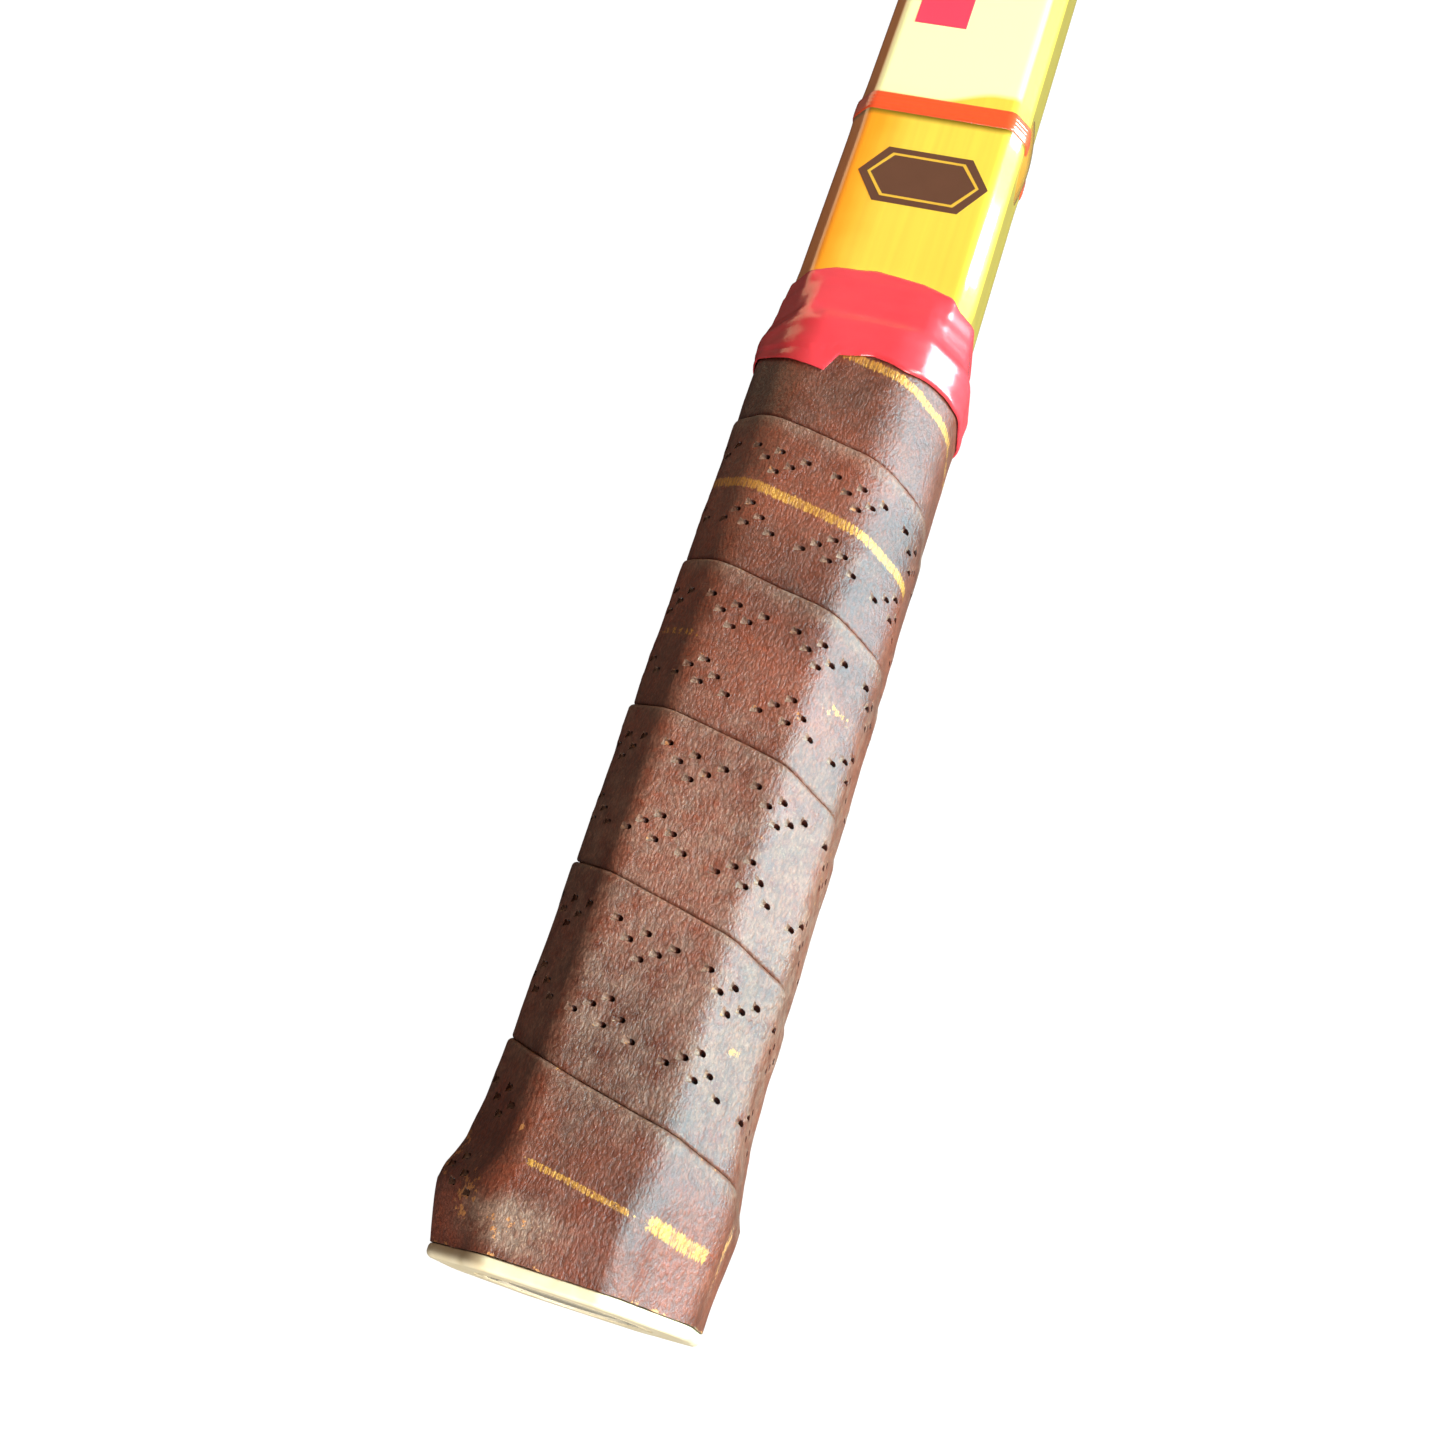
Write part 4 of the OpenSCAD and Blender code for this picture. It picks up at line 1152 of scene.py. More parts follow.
    def maps(self, t, y, w, room, girth, rows):
        """UV maps: place on the strip; gilt kept and distance from its line; rubbing and raw edge"""
        kept = np.full(t.shape, 0.30)
        from_line = y - gilt_y(t)
        for a, b, share, narrow in GILT_LEFT:
            inside = smoothstep(a - 0.006, a + 0.006, t) * (1 - smoothstep(b - 0.006, b + 0.006, t))
            kept = kept + (share - kept) * inside
            from_line = from_line * (1 + (narrow - 1) * inside)
        up = room[:, None] - w
        s = np.mod(-t * girth + girth / 2, girth) - girth / 2
        rubbed = np.maximum(0.8 * smoothstep(5.0, 0.6, up),
                            0.22 + 0.5 * smoothstep(100, 60, y) * smoothstep(14, 30, y))
        raw = 0.34 * smoothstep(1.6, 0.2, up) + 0.46 * smoothstep(2.9, 2.2, y)
        for at_s, at_y, wide, tall, rub, bare in SCUFFS:
            spot = np.exp(-((s - at_s) / wide) ** 2 - ((y - at_y) / tall) ** 2)
            rubbed, raw = np.maximum(rubbed, rub * spot), np.maximum(raw, bare * spot)
        raw[:, rows:] = 1
        return {"strip": np.stack([(-t * girth) * MM, w * MM], -1),
                "gilding": np.stack([kept, from_line * MM], -1),
                "wear": np.stack([rubbed, raw], -1)}

    def hole_cloud(self, holes, girth, lean_left, drag, above):
        """Points above the leather at each perforation, facing out, leaning with the punch"""
        rng = np.random.default_rng(SEED)
        t = np.array([h[0] for h in holes])
        y = np.array([h[1] for h in holes])
        x, z, nx, nz = GRIP.at(-t * girth + drag, y)
        stand = flare_at(y, nx) + 0.05
        normal = np.stack([nx, np.zeros_like(y), nz], -1)
        tangent = np.stack([nz, np.zeros_like(y), -nx], -1)
        ways = normal - lean_left * tangent + np.array([[0, 0.15 * lean_left, 0]])
        ways /= np.linalg.norm(ways, axis=1, keepdims=True)
        points = np.stack([x + nx * stand, y, z + nz * stand], -1) + ways * above
        lean = np.radians(-24 + rng.normal(0, 9, len(y)))[:, None]
        along = tangent * np.cos(lean) + np.array([[0, 1.0, 0]]) * np.sin(lean)
        return point_cloud("perforations", points, way=ways, along=along)

    def trimmer(self):
        """Cutter with a ragged top that trims the strip at the butt, and a flat one at the collar"""
        spokes, reach = 240, 30.0
        angle = np.linspace(0, 2 * math.pi, spokes, endpoint=False)
        ragged = 1.95 + 0.16 * smooth_noise(angle * 5, 21) + 0.10 * smooth_noise(angle * 31, 22)
        below = -40.0
        verts = [(0, 1.9, 0), (0, below, 0)]
        verts += [(reach * math.sin(a), y, reach * math.cos(a)) for a, y in zip(angle, ragged)]
        verts += [(reach * math.sin(a), below, reach * math.cos(a)) for a in angle]
        faces = []
        for k in range(spokes):
            n = (k + 1) % spokes
            faces += [(0, 2 + k, 2 + n), (1, 2 + spokes + n, 2 + spokes + k),
                      (2 + k, 2 + spokes + k, 2 + spokes + n, 2 + n)]
        base = len(verts)
        low, high = LEATHER_LEN, 230.0
        verts += [(x, y, z) for y in (low, high) for x, z in ((-30, -30), (30, -30), (30, 30), (-30, 30))]
        faces += [tuple(base + v for v in f) for f in
                  ((0, 1, 2, 3), (7, 6, 5, 4), (0, 4, 5, 1), (1, 5, 6, 2), (2, 6, 7, 3), (3, 7, 4, 0))]
        return outward(mesh_object("trimmer", verts, faces, None))


# ---- Collar tape -----------------------------------------------------------

TAPE_LOW = [(-56.2, 147.4), (-40, 148.6), (-28, 149.4), (-20.3, 149.1), (-12.9, 146.4), (-8, 144.8),
            (-3.9, 143.9), (-2.2, 147.4), (3.2, 148.2), (9, 146.9), (15, 147.3), (20.2, 146.9),
            (34, 147.8), (56.2, 147.4)]
TAPE_HIGH = [(-56.2, 167.5), (-30, 165.4), (-16, 166.6), (-13.5, 166.9), (-9.9, 168.8), (-1.3, 169.6),
             (7.6, 168.3), (16.2, 164.8), (26, 164.2), (40, 166.6), (56.2, 167.5)]
TAPE_TURN = [(-56.2, 149.4), (-28, 151.4), (-20.2, 150.8), (-13, 148.5), (-7.1, 147.7), (-3.4, 148.3),
             (3.2, 148.4), (9, 147.1), (15, 147.5), (20.2, 147.1), (34, 148.0), (56.2, 149.4)]


def curve_at(table, s):
    return np.interp(s, *zip(*table))


class RACKET_OT_collar(bpy.types.Operator):
    """Stretched vinyl tape over the top of the leather, two turns with a pointed end"""
    bl_idname = "racket.collar"
    bl_label = "Collar tape"

    COLUMNS = 260
    ROWS = 46
    # Height up the handle and the section reached there, from the leather's cut end to the shaft
    SLOPE = ((153.0, None), (157.0, (16.5, 13.9, 10.3, 6.9)), (166.0, (15.7, 11.2, 12.0, 6.6)),
             (169.4, tuple(v + 0.42 for v in SHAFT_SEC)))

    def execute(self, context):
        settings = context.scene.racket_collar
        ply = settings.ply / MM
        tape = self.tape_material(settings)
        girth = GRIP.girth
        s = (np.arange(self.COLUMNS) / self.COLUMNS - 0.5) * girth
        share = np.linspace(0, 1, self.ROWS)
        low = curve_at(TAPE_LOW, s) + 0.12 * smooth_noise(s * 0.5, 31)
        high = curve_at(TAPE_HIGH, s) + 0.15 * smooth_noise(s * 0.45, 32)
        y = low[:, None] + share[None, :] * (high - low)[:, None]
        ss = np.broadcast_to(s[:, None], y.shape)
        base = self.base(ss, y)
        turn = curve_at(TAPE_TURN, s)[:, None]
        wrap = ply * (0.9 + smoothstep(-0.12, 0.12, y - turn))
        folds = self.folds(ss, y)
        edge = 1 - 0.5 * (smoothstep(0.5, 0, y - low[:, None]) + smoothstep(0.4, 0, high[:, None] - y))
        lift = (wrap + folds) * edge
        outer = base[0] + base[1] * (0.10 + lift)[..., None]
        inner = base[0] + base[1] * 0.02
        verts = np.concatenate([outer, inner[:, ::-1]], 1)
        faces = grid_faces(self.COLUMNS, 2 * self.ROWS, wrap_columns=True, wrap_rows=True)
        collar = outward(mesh_object("collar", verts.reshape(-1, 3), faces, tape))
        crease(collar, 60)
        finished(collar, "red_tape", "collar_tape")
        return {"FINISHED"}

    def base(self, s, y):
        """Surface under the tape: the leather, its cut end, and the pallets' slope to the shaft"""
        top = 0.30 * smoothstep(138, 146, y)
        x, z, nx, nz = GRIP.at(s, y)
        leather = np.stack([x + nx * top, y, z + nz * top], -1)
        place = leather
        for (y0, _), (y1, size) in zip(self.SLOPE, self.SLOPE[1:]):
            ring = Octagon(size, 2.4 if y1 < 160 else 1.5)
            rx, rz, _, _ = ring.at(s * ring.girth / GRIP.girth)
            share = np.clip((y - y0) / (y1 - y0), 0, 1)[..., None]
            place = place * (1 - share) + np.stack([rx, y, rz], -1) * share
        normal = np.stack([nx, np.zeros_like(y), nz], -1)
        return place, normal

    def folds(self, s, y):
        """Creases where the tape was stretched over the step, and small trapped bubbles"""
        ridge = 0.24 * np.exp(-((y - 154.2 - 0.5 * np.sin(s * 0.12 + 1)) / 1.0) ** 2)
        soft = 0.035 * np.sin(y * 1.15 + 0.9 * np.sin(s * 0.09) + 0.05 * s) * smoothstep(148, 152, y)
        slant = 0.03 * np.sin(y * 2.1 - s * 0.16 + 1.7 * np.sin(s * 0.05))
        rng = np.random.default_rng(SEED + 1)
        bumps = np.zeros_like(y)
        for _ in range(14):
            cs, cy = rng.uniform(-56, 56), rng.uniform(149, 166)
            bumps += 0.12 * np.exp(-((s - cs) ** 2 + (y - cy) ** 2) / 0.3)
        return ridge + soft + slant + bumps

    def tape_material(self, settings):
        """Calendered PVC tape, stretched: soft gloss red with a faint cloudy change of tone."""
        material, tree, shader = new_material("PVC tape, stretched gloss")
        here = {"Vector": node(tree, "ShaderNodeTexCoord").outputs["Object"]}
        cloud = node(tree, "ShaderNodeTexNoise", {"Scale": 1 / (7 * MM), "Detail": 4.0}, here)
        tint = node(tree, "ShaderNodeMix", {6: (*srgb("#E43C46"), 1), 7: (*settings.tape, 1)},
                    {0: cloud.outputs["Fac"]}, data_type="RGBA")
        set_shader(shader, Base_Color=tint.outputs[2])
        stretch = node(tree, "ShaderNodeMapping",
                       {"Scale": (1 / (2.5 * MM), 1 / (0.9 * MM), 1 / (2.5 * MM))}, here)
        wrinkle = node(tree, "ShaderNodeTexNoise",
                       {"Scale": 1.0, "Detail": 3.0}, {"Vector": stretch.outputs[0]})
        bump = node(tree, "ShaderNodeBump", {"Strength": 0.35, "Distance": 0.08 * MM},
                    {"Height": wrinkle.outputs["Fac"]})
        set_shader(shader, Normal=bump.outputs[0],
                   Roughness=0.27, Specular_IOR_Level=0.55, Coat_Weight=0.35, Coat_Roughness=0.12,
                   Subsurface_Weight=0.15, Subsurface_Scale=0.001)
        return material


# ---- Shaft finish ----------------------------------------------------------

SLEEVE_FROM, SLEEVE_TO = 163.0, 303.0


class RACKET_OT_shaft(bpy.types.Operator):
    """Tinted lacquer on the shaft, its cream panel, plaque, bars, thread band and tail"""
    bl_idname = "racket.shaft"
    bl_label = "Shaft finish"

    COLUMNS = 168

    def execute(self, context):
        settings = context.scene.racket_shaft
        coat = settings.coat / MM
        section = Octagon(SHAFT_SEC, 1.3)
        paint = self.paint_material(settings)
        rows = np.concatenate([np.linspace(SLEEVE_FROM, 192, 14), np.linspace(194, 222, 57),
                               np.linspace(225, SLEEVE_TO, 28)])
        s = np.arange(self.COLUMNS) / self.COLUMNS * section.girth
        stand = self.stand(rows[:, None], coat)
        ss, yy = np.broadcast_arrays(s[None, :], rows[:, None])
        outer = section.points(ss, yy, stand)
        # Near the collar it runs up over the pallets' thin ends
        over = np.clip((168.4 - yy) * 0.2 + 0.12, 0, None)
        outer[..., 2] += over * np.clip(outer[..., 2] / 7.0, -1, 1)
        inner = section.points(ss, yy, np.minimum(0.02, stand))
        verts = np.concatenate([outer, inner[::-1]], 0)
        faces = grid_faces(2 * len(rows), self.COLUMNS, wrap_columns=True, wrap_rows=True)
        sleeve = outward(mesh_object("shaft_lacquer", verts.reshape(-1, 3), faces, paint))
        crease(sleeve, 60)
        finished(sleeve, "amber_lacquer")
        self.band(settings, section, coat)
        self.tail(settings)
        self.decals(settings, coat)
        return {"FINISHED"}

    def stand(self, y, coat):
        """Thickness of the lacquer, thicker up to the band and swollen where its end is tucked"""
        body = coat - 0.14 * smoothstep(BAND_FROM + 1, BAND_FROM + 5, y) - 0.2 * smoothstep(167, 164, y)
        pool = 0.18 * np.exp(-((y - BAND_FROM - BAND_W / 2) / 4.0) ** 2)
        return body + pool

    def band(self, settings, section, coat):
        """Thread whipping of five flat turns under the lacquer"""
        y0, y1 = BAND_FROM, BAND_FROM + BAND_W
        rows = np.linspace(0, 1, 25)
        turns = 5
        crown = 0.30 * np.sqrt(np.clip(1 - (2 * rows - 1) ** 4, 0, 1))
        crown += 0.05 * np.abs(np.sin(rows * math.pi * turns))
        s = np.arange(self.COLUMNS) / self.COLUMNS * section.girth
        ss, yy = np.broadcast_arrays(s[None, :], (y0 + rows * (y1 - y0))[:, None])
        outer = section.points(ss, yy, coat + 0.1 + crown[:, None])
        inner = section.points(ss, yy, coat - 0.1)
        verts = np.concatenate([outer, inner[::-1]], 0)
        faces = grid_faces(2 * len(rows), self.COLUMNS, wrap_columns=True, wrap_rows=True)
        thread = plastic_material("Cotton thread band, lacquered", settings.band, 0.35, coat=1.0,
                                  bump_mm=0.02, grain_mm=1.0, shade=tuple(0.75 * c for c in settings.band))
        band = outward(mesh_object("thread_band", verts.reshape(-1, 3), faces, thread))
        crease(band, 60)
        finished(band, "red_band", "shaft_band")

    def tail(self, settings):
        """A smooth lens of lacquer over the band's tucked end, on the right side"""
        low, high = corners_mm("band_tail")
        mid_y, half_y = (low[1] + high[1]) / 2, (high[1] - low[1]) / 2
        half_z = (high[2] - low[2]) / 2
        rings, spokes, stand = 12, 48, high[0] - SHAFT_X
        verts, faces = [(high[0] + 0.05, mid_y, 0)], []
        for r in range(1, rings + 1):
            f = r / rings
            for k in range(spokes):
                a = 2 * math.pi * k / spokes
                rise = (1 - f ** 2) ** 1.2 * stand
                verts.append((SHAFT_X + 0.05 + rise + (0 if r < rings else -0.3),
                              mid_y + half_y * f * math.cos(a), half_z * f * math.sin(a)))
        faces += [(0, 1 + k, 1 + (k + 1) % spokes) for k in range(spokes)]
        faces += grid_faces(rings, spokes, wrap_columns=True, first=1)
        last = 1 + (rings - 1) * spokes
        faces.append(tuple(range(last, last + spokes)))
        resin = plastic_material("Amber lacquer, pooled", srgb("#E8A030"), 0.12, coat=1.0, grain_mm=6,
                                 shade=srgb("#B07020"))
        lens = outward(mesh_object("band_tail_lens", verts, faces, resin))
        crease(lens, 70)
        finished(lens, "amber_lacquer", "band_tail")

    def decals(self, settings, coat):
        """Plain plaque and stepped bars, printed film 0.05 mm thick under the gloss"""
        plaque = plastic_material("Printed film, plaque", settings.plaque, 0.35, coat=1.0, grain_mm=5)
        line = plastic_material("Printed film, plaque line", srgb("#F2B840"), 0.35, coat=1.0, grain_mm=5)
        bars = plastic_material("Printed film, bars", settings.bars, 0.35, coat=1.0, grain_mm=8,
                                shade=tuple(0.85 * c for c in settings.bars))
        face = FACE_Z + coat
        low_face = face - 0.14
        for side in (1, -1):
            tag = "front" if side > 0 else "back"
            hexagon = [(-11.2, 0), (-7.2, 6.2), (7.8, 6.2), (11.8, 0), (7.8, -6.2), (-7.2, -6.2)]
            self.film(f"plaque_{tag}", [[(0.3 + x, 191.1 + y) for x, y in hexagon]], face, 0.05, side, plaque,
                      "badge")
            inset = [(0.3 + 0.3 + (x - 0.3) * 0.86, 191.1 + y * 0.80) for x, y in hexagon]
            inner = [(0.3 + 0.3 + (x - 0.3) * 0.81, 191.1 + y * 0.72) for x, y in hexagon]
            self.film(f"plaque_line_{tag}", [inset, inner], face + 0.05, 0.03, side, line, "amber_lacquer")
            first = [(-10.1, 227.8), (-0.5, 227.8), (-0.5, 262), (-10.1, 262)]
            second = [(0.5, 246), (10.1, 246), (10.1, 280), (0.5, 280)]
            self.film(f"bar_left_{tag}", [first], low_face, 0.05, side, bars, "red_band")
            self.film(f"bar_right_{tag}", [second], low_face, 0.05, side, bars, "red_band")

    def film(self, name, loops, height, thickness, side, material, slot):
        """A flat film with the first loop's outline, and the second loop cut out of it"""
        outer = loops[0]
        count = len(outer)
        verts = []
        for loop in loops:
            for z in (height + thickness, height - 0.2):
                verts += [(x, y, z * side) for x, y in loop]
        faces = []
        if len(loops) == 1:
            faces += [tuple(range(count)), tuple(range(2 * count - 1, count - 1, -1))]
            faces += [(k, (k + 1) % count, count + (k + 1) % count, count + k) for k in range(count)]
        else:
            for k in range(count):
                n = (k + 1) % count
                a, b, c, d = 0, count, 2 * count, 3 * count
                faces += [(a + k, a + n, c + n, c + k), (b + k, b + n, d + n, d + k),
                          (a + k, a + n, b + n, b + k), (c + k, c + n, d + n, d + k)]
        obj = outward(mesh_object(name, verts, faces, material, smooth=False))
        return finished(obj, slot)

    def paint_material(self, settings):
        """Tinted nitrocellulose lacquer over ash, with a cream panel on each face above the
        band: amber on the flats, turning deeper orange towards the left side as painted shade."""
        material, tree, shader = new_material("Nitrocellulose lacquer, amber tint")
        here = {"Vector": node(tree, "ShaderNodeTexCoord").outputs["Object"]}
        at = node(tree, "ShaderNodeSeparateXYZ", links=here)
        grain_space = node(tree, "ShaderNodeMapping",
                           {"Scale": (1 / (1.6 * MM), 1 / (60 * MM), 1 / (1.6 * MM))}, here)
        grain = node(tree, "ShaderNodeTexNoise",
                     {"Scale": 1.0, "Detail": 4.0}, {"Vector": grain_space.outputs[0]})
        cloud = node(tree, "ShaderNodeTexNoise", {"Scale": 1 / (14 * MM), "Detail": 3.0}, here)
        # Place across the shaft, wandering a little, for the painted shade of deeper orange towards the left side
        wander = node(tree, "ShaderNodeMath", {1: 5 * MM}, {0: cloud.outputs["Fac"], 2: at.outputs["X"]},
                      operation="MULTIPLY_ADD")
        shaded = node(tree, "ShaderNodeMapRange", {"From Min": -1 * MM, "From Max": -9.5 * MM},
                    {"Value": wander.outputs[0]}, interpolation_type="SMOOTHSTEP")
        amber = node(tree, "ShaderNodeMix", {6: (*settings.amber, 1), 7: (*settings.amber_shaded, 1)},
                     {0: shaded.outputs[0]}, data_type="RGBA")
        figure = node(tree, "ShaderNodeMapRange",
                      {"From Min": 0.3, "From Max": 0.7, "To Min": 0.92, "To Max": 1.04},
                      {"Value": grain.outputs["Fac"]})
        tinted = node(tree, "ShaderNodeMix", {0: 1.0}, {6: amber.outputs[2], 7: figure.outputs[0]},
                      data_type="RGBA", blend_type="MULTIPLY")
        # The cream panel: above the band, within the broad flats
        off_mid = node(tree, "ShaderNodeMath", links={0: at.outputs["X"]}, operation="ABSOLUTE")
        within = node(tree, "ShaderNodeMapRange", {"From Min": 13.3 * MM, "From Max": 12.7 * MM},
                      {"Value": off_mid.outputs[0]})
        # An uneven patch of amber over the right half just above the band
        pool = node(tree, "ShaderNodeMapRange", {"From Min": -2 * MM, "From Max": 9 * MM, "To Max": 3.4 * MM},
                    {"Value": at.outputs["X"]}, interpolation_type="SMOOTHSTEP")
        edge = node(tree, "ShaderNodeMath",
                    links={0: at.outputs["Y"], 1: pool.outputs[0]}, operation="SUBTRACT")
        above = node(tree, "ShaderNodeMapRange", {"From Min": 209.0 * MM, "From Max": 210.4 * MM},
                     {"Value": edge.outputs[0]})
        below_end = node(tree, "ShaderNodeMapRange", {"From Min": 292 * MM, "From Max": 291.5 * MM},
                         {"Value": at.outputs["Y"]})
        a = node(tree, "ShaderNodeMath",
                 links={0: within.outputs[0], 1: above.outputs[0]}, operation="MULTIPLY")
        panel = node(tree, "ShaderNodeMath",
                     links={0: a.outputs[0], 1: below_end.outputs[0]}, operation="MULTIPLY")
        # Painted shadow: a thin dark line under the band
        under = node(tree, "ShaderNodeMapRange", {"From Min": 204.0 * MM, "From Max": 205.2 * MM},
                     {"Value": at.outputs["Y"]})
        under_end = node(tree, "ShaderNodeMapRange", {"From Min": 205.9 * MM, "From Max": 205.5 * MM},
                         {"Value": at.outputs["Y"]})
        shadow = node(tree, "ShaderNodeMath", links={0: under.outputs[0], 1: under_end.outputs[0]},
                      operation="MULTIPLY")
        shadow_lined = node(tree, "ShaderNodeMix",
                       {7: (*srgb("#8A6A10"), 1)}, {0: shadow.outputs[0], 6: tinted.outputs[2]},
                       data_type="RGBA")
        coloured = node(tree, "ShaderNodeMix", {7: (*settings.cream, 1)},
                        {0: panel.outputs[0], 6: shadow_lined.outputs[2]}, data_type="RGBA")
        set_shader(shader, Base_Color=coloured.outputs[2])
        bump = node(tree, "ShaderNodeBump",
                    {"Strength": 0.15, "Distance": 0.2 * MM}, {"Height": cloud.outputs["Fac"]})
        set_shader(shader, Normal=bump.outputs[0], Coat_Normal=bump.outputs[0],
                   Roughness=0.3, Coat_Weight=1.0, Coat_Roughness=0.05, Coat_IOR=1.55)
        return material


# ---- Butt cap --------------------------------------------------------------

def turned(name, profile, material, centre, spokes=64, axis="Y"):
    """A turned solid: profile of (radius, distance along the axis), from the axis and back to it."""
    verts, faces = [], []
    count = len(profile)
    for r, h in profile[1:-1]:
        for k in range(spokes):
            a = 2 * math.pi * k / spokes
            u, v = r * math.cos(a), r * math.sin(a)
            verts.append((u, h, v) if axis == "Y" else (u, v, h))
    faces += grid_faces(count - 2, spokes, wrap_columns=True)
    for h, ring in ((profile[0][1], 0), (profile[-1][1], count - 3)):
        tip = len(verts)
        verts.append((0, h, 0) if axis == "Y" else (0, 0, h))
        faces += [(tip, ring * spokes + k, ring * spokes + (k + 1) % spokes) for k in range(spokes)]
    verts = np.array(verts) + np.array(centre)
    return outward(mesh_object(name, verts, faces, material))


class RACKET_OT_butt(bpy.types.Operator):
    """Moulded butt cap with its plain badge, and the tacks"""
    bl_idname = "racket.butt"
    bl_label = "Butt cap"

    COLUMNS = 192
    BADGE_R = 11.0

    def execute(self, context):
        settings = context.scene.racket_butt
        moulding = plastic_material("Cellulose acetate, moulded and aged", settings.moulding, 0.38, coat=0.2,
                                    bump_mm=0.03, grain_mm=3.0, shade=srgb("#E3CE9C"))
        section = Octagon(GRIP_SEC, CORNER_R)
        s = np.arange(self.COLUMNS) / self.COLUMNS * section.girth
        x, z, nx, nz = section.at(s)
        angle = np.arctan2(z, x)
        lip = flare_at(2.0, nx) - 0.05
        badge_r = self.BADGE_R

        def circle(r, y):
            return np.stack([r * np.cos(angle), np.full_like(x, y), r * np.sin(angle)], -1)

        def loop(stand, y):
            return np.stack([x + nx * stand, np.full_like(x, y), z + nz * stand], -1)

        def between(share, y):
            return circle(badge_r + 1.6, y) * (1 - share) + loop(lip - 1.4, y) * share

        rings = [circle(badge_r, 1.0), circle(badge_r, 0.25), circle(badge_r + 0.25, 0.0),
                 circle(badge_r + 1.0, 0.0), circle(badge_r + 1.15, 0.25), circle(badge_r + 1.45, 0.25),
                 between(0.0, 0.0), between(0.35, 0.05), between(0.7, 0.1), between(1.0, 0.0)]
        for t in np.linspace(0, math.pi / 2, 6)[1:]:
            rings.append(loop(lip - 1.0 + 1.0 * math.sin(t), 0.9 - 0.9 * math.cos(t)))
        rings += [loop(lip, 1.4), loop(lip - 0.15, 1.75), loop(lip - 0.6, 1.88)]
        for y in (1.9, 5.0, 8.0, 12.0, 16.0, 20.0, 23.9):
            rings.append(loop(flare_at(y, nx) - LEATHER_T - 0.02, y))
        wood = Octagon(WOOD_SEC, 0.4)
        wx, wz, _, _ = wood.at(s / section.girth * wood.girth)
        for y in (23.9, 2.0):
            rings.append(np.stack([wx * 1.002, np.full_like(x, y), wz * 1.002], -1))
        rings.append(circle(badge_r, 2.0))
        verts = np.concatenate(rings)
        rows, columns = len(rings), self.COLUMNS
        faces = grid_faces(rows, columns, wrap_columns=True)
        last = (rows - 1) * columns
        verts = np.concatenate([verts, [[0, 1.0, 0], [0, 2.0, 0]]])
        floor_in, floor_out = len(verts) - 2, len(verts) - 1
        faces += [(floor_in, k, (k + 1) % columns) for k in range(columns)]
        faces += [(floor_out, last + k, last + (k + 1) % columns) for k in range(columns)]
        cap = outward(mesh_object("butt_moulding", verts, faces, moulding))
        crease(cap, 40)
        finished(cap, "cream_plastic", "butt_cap")

        enamel = plastic_material("Urea badge, plain gloss", settings.badge, 0.2, coat=0.6, grain_mm=6)
        r = badge_r - 0.08
        profile = [(0, 0.95), (r, 0.95), (r, 0.25), (r - 0.3, 0.08), (r - 1.6, 0.08), (r - 1.9, 0.3),
                   (r - 3.0, 0.3), (r - 3.4, 0.16), (4.4, 0.03), (2.0, 0.01), (0, 0.0)]
        badge = turned("badge_disc", profile, enamel, (0, 0, 0))
        crease(badge, 30)
        finished(badge, "badge", "butt_badge")

        brass = brass_material()
        dress("butt_cap_tacks", brass)
        low, high = corners_mm("grip_tack")
        y = (low[1] + high[1]) / 2
        head_r = (high[0] - low[0]) / 2
        dome = [(0, -0.15), (head_r * 0.35, -0.11), (head_r * 0.7, 0.04), (head_r * 0.95, 0.3), (head_r, 0.5),
                (head_r * 0.9, 0.62), (0.7, 0.65), (0.66, 4.4), (0, 4.5)]
        tack = turned("grip_tack_dome", dome, brass, (0, y, low[2]), axis="Z", spokes=32)
        crease(tack, 40)
        finished(tack, "tack_brass", "grip_tack")
        return {"FINISHED"}


# ---- Strings ---------------------------------------------------------------

def softened(points, passes=1):
    """Cuts the corners of a path."""
    for _ in range(passes):
        a, b = points[:-1], points[1:]
        cut = np.empty((2 * len(a), 3))
        cut[0::2], cut[1::2] = 0.75 * a + 0.25 * b, 0.25 * a + 0.75 * b
        points = np.concatenate([points[:1], cut, points[-1:]])
    return points


